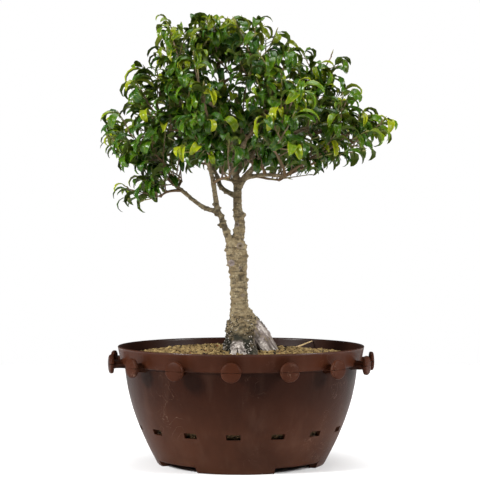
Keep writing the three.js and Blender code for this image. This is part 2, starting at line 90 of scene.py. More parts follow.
class Pattern:
    """A value or colour in a shader. Sums, products and powers add Math nodes, and node() adds any other."""

    def __init__(self, tree, socket=None):
        self.tree, self.socket = tree, socket

    def node(self, kind, settings=None, inputs=None, out=0):
        """Adds a node: first its settings, then its sockets' values or links. Gives its output number out."""
        made = self.tree.nodes.new(kind)
        for name, value in (settings or {}).items():
            if name == "stops":
                for _ in range(len(value) - 2):
                    made.color_ramp.elements.new(0.5)
                for element, (place, colour) in zip(made.color_ramp.elements, value):
                    element.position, element.color = place, colour
            else:
                setattr(made, name, value)
        for key, value in (inputs or {}).items():
            if isinstance(value, Pattern):
                self.tree.links.new(value.socket, made.inputs[key])
            else:
                made.inputs[key].default_value = value
        return Pattern(self.tree, made.outputs[out])

    def math(self, operation, *others):
        return self.node("ShaderNodeMath", {"operation": operation}, dict(enumerate((self, *others))))

    def __add__(self, other):
        return self.math("ADD", other)

    def __mul__(self, other):
        return self.math("MULTIPLY", other)

    def __sub__(self, other):
        return self.math("SUBTRACT", other)

    def __rsub__(self, other):
        return self.node("ShaderNodeMath", {"operation": "SUBTRACT"}, {0: other, 1: self})

    def __pow__(self, other):
        return self.math("POWER", other)

    __radd__, __rmul__ = __add__, __mul__

    def between(self, low, high):
        """0 below low, 1 above high, and a smooth step from one to the other."""
        smooth = {"interpolation_type": "SMOOTHSTEP"}
        return self.node("ShaderNodeMapRange", smooth, {0: self, 1: low, 2: high})

    def mix(self, under, over):
        """The colour under where this value is 0, and over where it is 1."""
        return self.node("ShaderNodeMix", {"data_type": "RGBA"}, {0: self, 6: under, 7: over}, 2)


def settle(shader, output):
    """Joins a finished shader to its tree's output node."""
    end = shader.tree.nodes.new(output)
    shader.tree.links.new(shader.socket, end.inputs["Surface"])


scene = bpy.context.scene
scene.view_settings.view_transform = "Standard"

camera = bpy.data.objects.new("camera", bpy.data.cameras.new("camera"))
camera.location = CAMERA_PLACE
camera.rotation_euler = (math.pi / 2, 0.0, 0.0)
camera.data.lens, camera.data.sensor_width = CAMERA_LENS, SENSOR
camera.data.shift_x, camera.data.shift_y = CAMERA_SHIFT
scene.collection.objects.link(camera)
scene.camera = camera

for lamp_name, lamp_place, lamp_side, watts in LAMPS:
    lamp = bpy.data.objects.new(lamp_name, bpy.data.lights.new(lamp_name, "AREA"))
    lamp.data.size, lamp.data.energy = lamp_side, watts
    lamp.location = lamp_place
    aim = type(lamp.location)(LAMP_AIM) - lamp.location
    lamp.rotation_euler = aim.to_track_quat("-Z", "Y").to_euler()
    scene.collection.objects.link(lamp)

room = bpy.data.worlds.new("room")
scene.world = room
room.use_nodes = True
room.node_tree.nodes.clear()
air = Pattern(room.node_tree)
heading = air.node("ShaderNodeTexCoord")
heading_parts = [air.node("ShaderNodeSeparateXYZ", None, {0: heading}, axis) for axis in (1, 2)]
glow = (
    ROOM_BEHIND_CAMERA
    + ROOM_BEHIND_PLANT * heading_parts[0].between(-0.25, 0.7)
    + ROOM_OVERHEAD * heading_parts[1].between(0.2, 1.0)
)
seen_straight = air.node("ShaderNodeLightPath")
seen_in_sheen = air.node("ShaderNodeLightPath", out=3)
glow = glow * (1 - seen_in_sheen * (1 - ROOM_IN_SHEEN))
lit_room = air.node("ShaderNodeBackground", None, {0: (1, 1, 1, 1), 1: glow})
plain_white = air.node("ShaderNodeBackground", None, {0: (1, 1, 1, 1), 1: 1.0})
shown_room = air.node("ShaderNodeMixShader", None, {0: seen_straight, 1: lit_room, 2: plain_white})
settle(shown_room, "ShaderNodeOutputWorld")


def material(name):
    """A new material with an empty tree, and the pattern that grows it."""
    made = bpy.data.materials.new(name)
    made.use_nodes = True
    made.node_tree.nodes.clear()
    return made, Pattern(made.node_tree)


def principled(tree, sockets):
    """Finishes a tree with one Principled shader."""
    settle(tree.node("ShaderNodeBsdfPrincipled", None, sockets), "ShaderNodeOutputMaterial")


def body(name, points, faces, finishes, finish_of_face=None, smooth=True):
    """A piece from its corner points and arrays of three- and four-cornered faces, which face outwards."""
    mesh = bpy.data.meshes.new(name)
    corners = np.concatenate([group.ravel() for group in faces])
    sizes = np.concatenate([np.full(len(group), group.shape[1]) for group in faces])
    mesh.vertices.add(len(points))
    mesh.vertices.foreach_set("co", np.ascontiguousarray(points, np.float32).ravel())
    mesh.loops.add(len(corners))
    mesh.loops.foreach_set("vertex_index", corners.astype(np.int32))
    mesh.polygons.add(len(sizes))
    mesh.polygons.foreach_set("loop_start", (np.cumsum(sizes) - sizes).astype(np.int32))
    mesh.polygons.foreach_set("use_smooth", np.full(len(sizes), smooth))
    for finish in finishes:
        mesh.materials.append(finish)
    if finish_of_face is not None:
        mesh.polygons.foreach_set("material_index", finish_of_face.astype(np.int32))
    mesh.update(calc_edges=True)
    piece = bpy.data.objects.new(name, mesh)
    scene.collection.objects.link(piece)
    return piece


paper, sheet = material("white_paper")
principled(sheet, {"Base Color": paint(*PAPER), "Roughness": 0.9, "Specular IOR Level": 0.1})
floor_corners = np.array([(-1, -1, 0), (1, -1, 0), (1, 1, 0), (-1, 1, 0)]) * (FLOOR_SIDE / 2)
floor = body("floor", floor_corners, [np.array([[0, 1, 2, 3]])], [paper], smooth=False)


# ---- Pot ----
# A round training pot, injection moulded in brown plastic in one piece: a tapered rim band with
# mushroom-headed knobs for wires, drain slots low in the wall, drain holes in the floor, and a foot ring cut
# into four feet.

MM = 0.001
POT_TURN = -94.0
KNOB_COUNT = 15
FOOT_COUNT = 4
FOOT_NOTCH = 38.0
NOTCH_TOP = 5.5
NOTCH_FADE = 9.0
FOOT_INSIDE = 79.0
FOOT_OUTSIDE = 88.4
SLOT_HALF_WIDTH = 7.0
SLOT_RADIUS = 106.0
SLOT_HEIGHTS = (36.75, 42.25)
WALL = 3.0
FLOOR_UNDER = 6.0
FLOOR_OVER = 9.0
KNOB_HEIGHT = 106.0
KNOB_ROOT = 121.6
KNOB_SIDES = 15
RIM_ROWS = 8
MOULD_GAP = 0.02
MOULD_STEP = 0.05
BORE_SIDES = 24
BORE_ENDS = (3.0, 12.0)
FAR = 99
BAND_LEAN = 0.27
DRAIN_RADIUS = 6.0
DRAIN_RING = 48.0
DRAIN_COUNT = 6
POT_COLOURS = {
    "band": (54, 26, 14),
    # upper: a darker brown, painted shade under the band
    "upper": (33, 12, 4),
    # lower: a lighter brown, painted light from the white floor
    "lower": (59, 33, 21),
    # deep: a dark brown for random mottle, and painted shade on the inner face of the rim
    "deep": (24, 11, 6),
    "scuff": (112, 86, 72),
}


def eased(corners, steps=4):
    """An outline of (radius, height, ease), each corner rounded from ease before it to ease after it."""
    parts = []
    share = np.linspace(0, 1, steps + 1)[:, None]
    for before, corner, after in zip(corners, corners[1:], corners[2:]):
        middle, ease = np.array(corner[:2], float), corner[2]
        ends = [
            middle + (side - middle) * min(ease / max(np.linalg.norm(side - middle), 1e-6), 0.48)
            for side in (np.array(before[:2], float), np.array(after[:2], float))
        ]
        if ease == 0:
            parts.append(middle[None])
        else:
            parts.append((1 - share) ** 2 * ends[0] + 2 * share * (1 - share) * middle + share**2 * ends[1])
    return np.concatenate([[corners[0][:2]], *parts, [corners[-1][:2]]])


def bowl_radius(height, inset, bottom):
    """The wall's radius at a height: a cubic curve from the foot to the band, set in from the outer face."""
    share = np.linspace(0, 1, 80)
    handles = np.array(
        [(89 - inset, bottom), (104 - inset, bottom + 27.2), (120 - inset, 62.7), (122.5 - inset, 104.5)]
    )
    rest = 1 - share
    weights = np.stack([rest**3, 3 * share * rest**2, 3 * share**2 * rest, share**3], 1)
    curve = weights @ handles
    return np.interp(height, curve[:, 1], curve[:, 0])


def ring_grid(rows, columns):
    """Faces of a grid whose columns close into a ring, each between two rows and two columns."""
    low = np.arange(rows - 1)[:, None] * columns + np.arange(columns)[None]
    turn = np.arange(rows - 1)[:, None] * columns + np.roll(np.arange(columns), -1)[None]
    return np.stack([low, turn, turn + columns, low + columns], -1)


def fan(pole, ring):
    """Triangles from a pole to each side of a ring of corners."""
    return np.stack([np.full(len(ring), pole), np.roll(ring, -1), ring], -1)


def outward(points, faces):
    """The faces turned round, if need be, so that the closed shape they make has a positive volume."""
    volume = 0.0
    for group in faces:
        for last in range(2, group.shape[1]):
            a, b, c = (points[group[:, i]] for i in (0, last - 1, last))
            volume += np.einsum("ij,ij->", a, np.cross(b, c))
    return faces if volume > 0 else [group[:, ::-1] for group in faces]


def join(parts):
    """Several (points, faces) as one: the corner numbers of each follow on from those before it."""
    start, points, faces = 0, [], []
    for some_points, some_faces in parts:
        points.append(some_points)
        faces += [group + start for group in some_faces]
        start += len(some_points)
    return np.concatenate(points), faces


pitch = 360 / KNOB_COUNT
slot_half = math.degrees(SLOT_HALF_WIDTH / SLOT_RADIUS)
slot_columns = np.array([-1, -0.5, 0, 0.5, 1]) * slot_half
plain_columns = np.linspace(slot_half, pitch - slot_half, 9)[1:-1]
turns = np.concatenate([slot_columns, plain_columns]) + pitch * np.arange(KNOB_COUNT)[:, None]
notch_middles = 180 / FOOT_COUNT + 360 / FOOT_COUNT * np.arange(FOOT_COUNT)
notch_edges = (notch_middles[:, None] + FOOT_NOTCH / 2 * np.array([-1.008, -0.992, 0.992, 1.008])).ravel()
turns = np.sort(np.concatenate([turns.ravel(), notch_edges]))
from_notch = np.abs((turns[:, None] - notch_middles + 180) % 360 - 180).min(1)
in_notch = from_notch < FOOT_NOTCH / 2
from_slot = np.abs((turns + pitch / 2) % pitch - pitch / 2)

slot_rows = np.linspace(*SLOT_HEIGHTS, 4)
low_heights, high_heights = [3.2, 4.2, 5.6, 7.4, 10, 14, 19, 25, 31], [48, 55, 62, 69, 76, 83, 90, 96]
wall_heights = np.concatenate([low_heights, slot_rows, high_heights])
outer = eased(
    [(0, FLOOR_UNDER, 0), (40, FLOOR_UNDER, 0), (80, FLOOR_UNDER, 0.8)]
    + [(80, 0, 0.8), (88, 0, 0.8), (89.2, 2.2, 0.6)]
    + [(bowl_radius(height, 0, 2), height, 0) for height in wall_heights]
    + [(122.2, 101, 0), (122.5, 104.4, 0.7), (126, 104.9, 0.9), (127.3, 110, 0), (128.6, 116, 0)]
    + [(129.4, 120.2, 0), (130, 123, 1.1), (127, 123, 1.1), (124.7, 116, 0)]
)
inner_heights = np.concatenate([[98, 88, 76, 64, 53], slot_rows[::-1], [30, 20, 13]])
inner = np.array(
    [(121.8, 109), (119.6, 104.5)]
    + [(bowl_radius(height, WALL, FLOOR_OVER), height) for height in inner_heights]
    + [(86.4, 9.9)]
    + [(radius, FLOOR_OVER) for radius in (84, 70, 40, 0)]
)
outline = np.concatenate([outer, inner])[1:-1]
radii = np.repeat(outline[:, :1], len(turns), 1)
heights = np.repeat(outline[:, 1:], len(turns), 1)
outside = np.arange(len(outline)) < len(outer) - RIM_ROWS
lifted = outside[:, None] & in_notch[None] & (heights < NOTCH_FADE) & (radii > FOOT_INSIDE)
raised = NOTCH_TOP + heights * (NOTCH_FADE - NOTCH_TOP) / NOTCH_FADE
radii = np.where(lifted & (radii > FOOT_OUTSIDE), np.maximum(radii, bowl_radius(raised, 0, 2)), radii)
heights = np.where(lifted & (heights < 5.9), raised, heights)
turned = np.radians(turns + POT_TURN)
shell = np.stack([radii * np.cos(turned), radii * np.sin(turned), heights], -1)

rows, columns = radii.shape
cells = ring_grid(rows, columns)
next_height = np.roll(outline[:, 1], -1)
middle_height = (outline[:, 1] + next_height)[: rows - 1] / 2
next_turn = np.roll(turns, -1) + np.where(np.arange(columns) == columns - 1, 360, 0)
middle_turn = (turns + next_turn) / 2
cell_from_slot = np.abs((middle_turn + pitch / 2) % pitch - pitch / 2)
is_hole = (
    ((middle_height > SLOT_HEIGHTS[0]) & (middle_height < SLOT_HEIGHTS[1]))[:, None]
    & (cell_from_slot < slot_half)[None]
    & (outline[: rows - 1, 0] > 90)[:, None]
)
outside_rows = [int(np.argmin(np.abs(outline[:, 1] - h) + FAR * ~outside)) for h in slot_rows]
inside_rows = [int(np.argmin(np.abs(outline[:, 1] - h) + FAR * outside)) for h in slot_rows]
hole_columns = np.where(cell_from_slot < slot_half)[0]
after = (hole_columns + 1) % columns
bridges = []
for end, flip in ((0, 1), (-1, -1)):
    near, far = outside_rows[end] * columns, inside_rows[end] * columns
    lip = np.stack([near + hole_columns, far + hole_columns, far + after, near + after], -1)
    bridges.append(lip[:, ::flip])
left_columns = hole_columns[~np.isin(hole_columns - 1, hole_columns)]
right_columns = (hole_columns[~np.isin(hole_columns + 1, hole_columns)] + 1) % columns
for side_columns, flip in ((left_columns, -1), (right_columns, 1)):
    for row in range(len(slot_rows) - 1):
        near, far = outside_rows[row], inside_rows[row]
        near_up, far_up = outside_rows[row + 1], inside_rows[row + 1]
        cheek = np.stack([line * columns + side_columns for line in (near, far, far_up, near_up)], -1)
        bridges.append(cheek[:, ::flip])
shell_points = np.concatenate([shell.reshape(-1, 3), [[0, 0, FLOOR_UNDER], [0, 0, FLOOR_OVER]]])
under, over = rows * columns, rows * columns + 1
shell_faces = [
    cells[~is_hole],
    *bridges,
    fan(under, np.arange(columns)),
    fan(over, np.arange((rows - 1) * columns, rows * columns))[:, ::-1],
]


def worked(piece, sides):
    """The mesh that a piece's modifiers make: its points in millimetres, its normals, and its faces, each
    with so many sides. The piece itself is taken away."""
    bpy.context.view_layer.update()
    made = bpy.data.meshes.new_from_object(piece.evaluated_get(bpy.context.evaluated_depsgraph_get()))
    bpy.data.objects.remove(piece)
    points, normals = np.zeros((2, len(made.vertices) * 3), np.float32)
    made.vertices.foreach_get("co", points)
    made.vertices.foreach_get("normal", normals)
    faces = np.zeros(len(made.loops), np.int32)
    made.loops.foreach_get("vertex_index", faces)
    points, normals = points.reshape(-1, 3).astype(float), normals.reshape(-1, 3).astype(float)
    return points / MM, normals, faces.reshape(-1, sides)


def bore_at(middle):
    """A round bar that cuts one drain hole through the floor."""
    turn = 2 * np.pi * np.arange(BORE_SIDES) / BORE_SIDES
    rim = middle + DRAIN_RADIUS * np.stack([np.cos(turn), np.sin(turn)], -1)
    rims = [np.insert(rim, 2, height, 1) for height in BORE_ENDS]
    points = np.concatenate(rims + [[[*middle, height]] for height in BORE_ENDS])
    low_end = fan(2 * BORE_SIDES, np.arange(BORE_SIDES))
    high_end = fan(2 * BORE_SIDES + 1, np.arange(BORE_SIDES, 2 * BORE_SIDES))[:, ::-1]
    faces = [ring_grid(2, BORE_SIDES).reshape(-1, 4), low_end, high_end]
    return points, outward(points - points.mean(0), faces)


# One drain hole on the axis and a ring of them round it.
drain_turn = 2 * np.pi * np.arange(DRAIN_COUNT) / DRAIN_COUNT
drain_middles = DRAIN_RING * np.stack([np.cos(drain_turn), np.sin(drain_turn)], -1)
bores = [bore_at(middle) for middle in np.concatenate([[[0.0, 0.0]], drain_middles])]
bore_points, bore_faces = join(bores)
bore = body("bore", bore_points * MM, bore_faces, [])
blank = body("blank", shell_points * MM, outward(shell_points, shell_faces), [])
bored = blank.modifiers.new("bored", "BOOLEAN")
bored.operation, bored.solver, bored.object = "DIFFERENCE", "EXACT", bore
blank.modifiers.new("triangles", "TRIANGULATE")
shell_points, _, shell_triangles = worked(blank, 3)
bpy.data.objects.remove(bore)

knob_outline = eased(
    [(KNOB_ROOT, 5.6, 0), (124.5, 4.9, 0), (128, 4.6, 0), (136, 4.5, 0.7), (136.4, 9.6, 0.5)]
    + [(138.2, 10, 0.8), (140.2, 9.3, 0.9), (140.7, 6, 0), (141, 2.5, 0), (141, 0.02, 0)],
    3,
)


def half_knob(side):
    """Half of a knob, turned through half a circle about its own axis and closed by its parting face."""
    sweep = np.radians(np.linspace(2, 178, KNOB_SIDES)) * side
    proud = MOULD_STEP * (side < 0) * (knob_outline[:, 1] > 5)
    height = KNOB_HEIGHT + MOULD_GAP * side
    away, round_ = knob_outline[:, :1] + proud[:, None], knob_outline[:, 1:] * np.ones(KNOB_SIDES)
    grid = np.stack([away + 0 * round_, round_ * np.cos(sweep), round_ * np.sin(sweep)], -1)
    grid[..., 2] += height
    count = len(knob_outline)
    points = np.concatenate([grid.reshape(-1, 3), [[KNOB_ROOT, 0, height]]])
    last = np.arange((count - 1) * KNOB_SIDES, count * KNOB_SIDES)
    root, face = fan(count * KNOB_SIDES, np.arange(KNOB_SIDES)), fan(last[0], last[1:])[:-1, ::-1]
    faces = [ring_grid(count, KNOB_SIDES).reshape(-1, 4), root, face]
    return points, outward(points - points.mean(0), faces)


def turned_about_axis(points, angle):
    """Points carried round the pot's axis by an angle in degrees."""
    c, s = math.cos(math.radians(angle)), math.sin(math.radians(angle))
    return points @ np.array([[c, s, 0], [-s, c, 0], [0, 0, 1]])


halves = [half_knob(1), half_knob(-1)]
knob_turns = POT_TURN + pitch * np.arange(KNOB_COUNT)
knobs = [(turned_about_axis(points, turn), faces) for turn in knob_turns for points, faces in halves]
shell_part = (shell_points, [shell_triangles])
pot_points, pot_faces = join([shell_part, *knobs])

pot_plastic, brown = material("moulded_brown_plastic")
spot = brown.node("ShaderNodeTexCoord", out=3)
pot_xyz = [brown.node("ShaderNodeSeparateXYZ", None, {0: spot}, axis) for axis in range(3)]
stretched = brown.node("ShaderNodeMapping", None, {0: spot, "Scale": (1.0, 1.0, 0.12)})


def cloud(tree, place, scale, detail=3.0, roughness=0.55, warp=0.0):
    """Even noise from 0 to 1, with scale blotches to the metre."""
    return tree.node(
        "ShaderNodeTexNoise",
        None,
        {0: place, "Scale": scale, "Detail": detail, "Roughness": roughness, "Distortion": warp},
    )


def rough(tree, strength, distance, height):
    """A surface pushed in and out by a pattern, as a shading normal."""
    return tree.node("ShaderNodeBump", None, {"Strength": strength, "Distance": distance, "Height": height})


mottle = cloud(brown, spot, 30.0)
drips = cloud(brown, stretched, 90.0, 2.0).between(0.5, 0.75)
haze = cloud(brown, spot, 14.0, 4.0, 0.6, 0.6).between(0.5, 0.78)
scratch_bed = cloud(brown, spot, 55.0, 2.0, 0.5, 1.6)
scratches = 1 - (scratch_bed - 0.5).math("ABSOLUTE").between(0.0, 0.006)
scratches = scratches * cloud(brown, spot, 18.0).between(0.56, 0.7)
# Painted shade under the band darkens the upper wall; painted floor light makes the lower wall lighter.
lower = 1 - pot_xyz[2].between(0.015, 0.1)
plastic_colour = lower.mix(paint(*POT_COLOURS["upper"]), paint(*POT_COLOURS["lower"]))
reach_from_axis = (pot_xyz[0] * pot_xyz[0] + pot_xyz[1] * pot_xyz[1]) ** 0.5
on_knob = reach_from_axis.between(0.1308, 0.1318)
on_band = pot_xyz[2].between(0.1035, 0.1055).math("MAXIMUM", on_knob)
plastic_colour = on_band.mix(plastic_colour, paint(*POT_COLOURS["band"]))
plastic_colour = (mottle.between(0.3, 0.75) * 0.35).mix(plastic_colour, paint(*POT_COLOURS["deep"]))
scuffed = drips * 0.05 + haze * 0.13 * lower + scratches * 0.75
plastic_colour = scuffed.mix(plastic_colour, paint(*POT_COLOURS["scuff"]))
# Painted shade: the inner face of the rim, above the soil, is darkened towards the deep brown.
inside = 1 - (reach_from_axis - pot_xyz[2] * BAND_LEAN).between(0.0951, 0.0957)
inside = inside * pot_xyz[2].between(0.105, 0.106)
plastic_colour = (inside * 0.8).mix(plastic_colour, paint(*POT_COLOURS["deep"]))
skin_grain = cloud(brown, spot, 2600.0, 2.0)
wave_bed = cloud(brown, stretched, 24.0, 2.0)
plastic_relief = skin_grain * 0.25 + wave_bed * 1.2 + scratches * -0.4
principled(
    brown,
    {
        "Base Color": plastic_colour,
        "Roughness": 0.34 + mottle * 0.16 + haze * 0.12,
        "Specular IOR Level": 0.05,
        "Coat Weight": pot_xyz[2].between(0.1205, 0.1228) * 0.45,
        "Coat Roughness": 0.22,
        "Normal": rough(brown, 0.35, 0.0006, plastic_relief),
    },
)
pot = body("pot", pot_points * MM, pot_faces, [pot_plastic])
pot.data.set_sharp_from_angle(angle=math.radians(38))
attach(pot, "root")
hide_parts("pot")


# ---- Soil ----
# Fired clay and pumice granules, two to five millimetres across, poured round the roots and mounded to the
# trunk: a packed bed that fills the pot, and the loose top layer lying on it, grain by grain.

SOIL_EDGE = 112.0
SOIL_MOUND = 10.0
SOIL_RADIUS = 119.2
SLUMP_BEARING = math.radians(50)
HOLLOW_DEPTH = 8.5
HOLLOW_PLACE = (5, -46)
HOLLOW_REACH = (42, 36)
BED_BOTTOM = 9.4
BED_CLEARANCE = 0.35
BED_SINK = 0.9
GRAIN_SPREAD = 120.5
GRAIN_COUNT = 6200
SLOT_GRAINS = 14
SOIL_COLOURS = {
    "tan": (135, 115, 74),
    "ochre": (100, 80, 46),
    "brown": (60, 46, 29),
    "dark": (22, 19, 14),
    "russet": (112, 44, 18),
}
RUSSET_PLACE = (82.0, 62.0)
RUSSET_REACH = 4.0
RUSSET_SHARE = 0.006
DARK_SHARE = 0.06
chance = np.random.default_rng(387)


def mound(radius, turn):
    """The bed's height at a distance and bearing from the axis: level at the trunk, falling to the wall by a
    power of the distance that is least where the soil has slumped, less a round hollow that watering dug."""
    power = 1.9 - 0.8 * np.cos(turn - SLUMP_BEARING)
    place = (radius * np.cos(turn), radius * np.sin(turn))
    hollow = sum(((at - middle) / reach) ** 2 for at, middle, reach in zip(place, HOLLOW_PLACE, HOLLOW_REACH))
    hill = SOIL_MOUND * (1 - np.clip(radius / SOIL_RADIUS, 0, 1) ** power)
    return SOIL_EDGE + hill - HOLLOW_DEPTH * np.exp(-hollow)


def grain(points, size, seed):
    """Smooth noise from -1 to 1: a random number at each corner of a lattice of that size, eased between."""
    cell = np.floor(points / size)
    share = points / size - cell
    share = share * share * (3 - 2 * share)
    total = np.zeros(points.shape[:-1])
    for corner in product((0, 1), repeat=3):
        place = (cell + corner).astype(np.int64)
        code = place @ np.array([73856093, 19349663, 83492791]) + seed * 7919
        code = ((code ^ (code >> 13)) * 1274126177) & 0x7FFFFFFF
        value = ((code ^ (code >> 15)) % 65536) / 32768 - 1
        total += np.prod(np.where(corner, share, 1 - share), -1) * value
    return total


bed_heights = np.linspace(104.5, 12, 18)
bed_outline = np.concatenate(
    [
        [(r, SOIL_EDGE) for r in np.linspace(3, 119, 38)],
        [(121.6, 111.3)],
        [(bowl_radius(h, WALL + BED_CLEARANCE, FLOOR_OVER), h) for h in bed_heights],
        [(radius, BED_BOTTOM) for radius in (84, 60, 30)],
    ]
)
bed_turns = np.radians(np.arange(0, 360, 2.5))
bed_away, bed_up = bed_outline[:, :1], bed_outline[:, 1:]
bed_grid = [bed_away * np.cos(bed_turns), bed_away * np.sin(bed_turns), bed_up + 0 * bed_turns]
bed_grid = np.stack(bed_grid, -1)
on_top = bed_up == SOIL_EDGE
bed_grid[..., 2] += on_top * (mound(bed_away, bed_turns) - SOIL_EDGE)
bed_grid[..., 2] += on_top * (0.9 * grain(bed_grid, 5.0, 1) + 0.5 * grain(bed_grid, 2.2, 2) - BED_SINK)
bed_count = len(bed_outline) * len(bed_turns)
bed_poles = [[0, 0, SOIL_EDGE + SOIL_MOUND - BED_SINK], [0, 0, BED_BOTTOM]]
bed_points = np.concatenate([bed_grid.reshape(-1, 3), bed_poles])
bed_faces = [
    ring_grid(len(bed_outline), len(bed_turns)).reshape(-1, 4),
    fan(bed_count, np.arange(len(bed_turns))),
    fan(bed_count + 1, np.arange(bed_count - len(bed_turns), bed_count))[:, ::-1],
]

golden = (1 + 5**0.5) / 2
ico = np.array([(0, a, b * golden) for a in (-1, 1) for b in (-1, 1)])
ico = np.concatenate([ico, np.roll(ico, 1, 1), np.roll(ico, 2, 1)]) / math.hypot(1, golden)
reach = np.linalg.norm(ico[:, None] - ico[None], axis=-1)
near = (reach > 0.1) & (reach < 1.2)
threes = [(a, b, c) for a in range(12) for b in range(a) for c in range(b)]
ico_faces = np.array([(a, b, c) for a, b, c in threes if near[a, b] and near[b, c] and near[a, c]])
first, second, third = ico[ico_faces.T]
facing = np.einsum("ij,ij->i", first, np.cross(second, third)) > 0
ico_faces = np.where(facing[:, None], ico_faces, ico_faces[:, ::-1])


def pebbles(places, sizes, flatness=0.75):
    """Irregular grains of those sizes at those places: lumps of twelve corners, dented, squashed, turned."""
    count = len(places)
    turn = np.linalg.qr(chance.normal(size=(count, 3, 3)))[0]
    dents = 1 + chance.uniform(-0.28, 0.22, (count, 12, 1))
    squash = chance.uniform(flatness, 1.15, (count, 1, 3))
    lumps = np.einsum("nij,npj->npi", turn, ico[None] * dents * squash) * sizes[:, None, None]
    points = (lumps + places[:, None]).reshape(-1, 3)
    mirrored = np.linalg.det(turn) < 0
    faces = ico_faces[None] + 12 * np.arange(count)[:, None, None]
    faces = np.where(mirrored[:, None, None], faces[..., ::-1], faces)
    return points, [faces.reshape(-1, 3)]


def wall_grains(count_each):
    """Places of the grains that show in each drain slot, just inside the wall."""
    angle = np.radians(np.repeat(knob_turns, count_each))
    across = chance.uniform(-SLOT_HALF_WIDTH, SLOT_HALF_WIDTH, len(angle)) / SLOT_RADIUS
    up = chance.uniform(SLOT_HEIGHTS[0] - 1, SLOT_HEIGHTS[1] + 1, len(angle))
    away = bowl_radius(up, WALL, FLOOR_OVER) + chance.uniform(-0.6, 1.3, len(angle))
    return np.stack([away * np.cos(angle + across), away * np.sin(angle + across), up], -1)


spread = GRAIN_SPREAD * np.sqrt(chance.uniform(0, 1, GRAIN_COUNT))
bearing = chance.uniform(0, 2 * np.pi, GRAIN_COUNT)
grain_sizes = chance.gamma(6.0, 0.26, GRAIN_COUNT).clip(0.7, 2.9)
grain_level = mound(spread, bearing) - 0.6
grain_places = np.stack([spread * np.cos(bearing), spread * np.sin(bearing), grain_level], -1)
grain_places[:, 2] += chance.uniform(-0.3, 0.7, GRAIN_COUNT)
slot_places = wall_grains(SLOT_GRAINS)
all_places = np.concatenate([grain_places, slot_places])
all_sizes = np.concatenate([grain_sizes, chance.uniform(0.8, 1.5, len(slot_places))])
grains_part = pebbles(all_places, all_sizes)
soil_points, soil_faces = join([(bed_points, outward(bed_points, bed_faces)), grains_part])

soil_finish, earth = material("granular_soil")


def marked(tree, name):
    """The number that mark() wrote on the piece under that name."""
    return tree.node("ShaderNodeAttribute", {"attribute_name": name}, out=2)


lump_tone = marked(earth, "tone")
soil_spot = earth.node("ShaderNodeTexCoord", out=3)
dust = cloud(earth, soil_spot, 700.0, 4.0, 0.7)
earth_stops = [(0.0, "dark"), (0.16, "brown"), (0.5, "ochre"), (0.95, "tan")]
earth_stops = [(place, paint(*SOIL_COLOURS[name])) for place, name in earth_stops]
earth_colour = earth.node("ShaderNodeValToRGB", {"stops": earth_stops}, {0: lump_tone + (dust - 0.5) * 0.35})
earth_colour = marked(earth, "russet").mix(earth_colour, paint(*SOIL_COLOURS["russet"]))
principled(
    earth,
    {
        "Base Color": earth_colour,
        "Roughness": 0.92,
        "Specular IOR Level": 0.25,
        "Normal": rough(earth, 0.7, 0.0006, dust),
    },
)
soil = body("soil", soil_points * MM, soil_faces, [soil_finish])
tone = np.full(len(soil_points), 0.2)
is_dark = chance.uniform(0, 1, len(all_places)) < DARK_SHARE
grain_tones = np.where(is_dark, 0.02, chance.normal(0.66, 0.17, len(all_places)))
# Painted shade: the grains seen through the drain slots get dark tones for the shade behind the wall.
grain_tones[GRAIN_COUNT:] = chance.uniform(0.0, 0.34, len(slot_places))
# The loose grains darken towards the pot's right side (+x).
rightward_darkening = np.clip((grain_places[:, 0] - 20) / 90, 0, 1)
grain_tones[:GRAIN_COUNT] -= 0.14 * rightward_darkening
tone[len(bed_points) :] = np.repeat(grain_tones.clip(0, 1), 12)
burnt = np.hypot(*(all_places[:, :2] - RUSSET_PLACE).T) < RUSSET_REACH
burnt |= np.random.default_rng(5).uniform(0, 1, len(all_places)) < RUSSET_SHARE
russet_grains = np.concatenate([np.zeros(len(bed_points)), np.repeat(burnt * 1.0, 12)])


def mark(piece, name, values):
    """Writes one number for each corner of a piece, for its material to read."""
    layer = piece.data.attributes.new(name, "FLOAT", "POINT")
    layer.data.foreach_set("value", np.asarray(values, np.float32))


mark(soil, "tone", tone)
mark(soil, "russet", russet_grains)
soil.data.set_sharp_from_angle(angle=math.radians(50))
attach(soil, "root")
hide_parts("soil")


# ---- Wood ----
# One grown piece: surface roots, a swollen base, the trunk with its fork, and the limbs that carry the crown.
# Old wood has beige-grey bark with ring wrinkles, leaf scars and pruning knots. Branches are thin and brown.

SOIL_TOP = 122.0
FORK = np.array([-5.3, 0, 236.0])
CROWN = np.array([155.0, 136.0, 237.0])
LIMB_END = 1.9
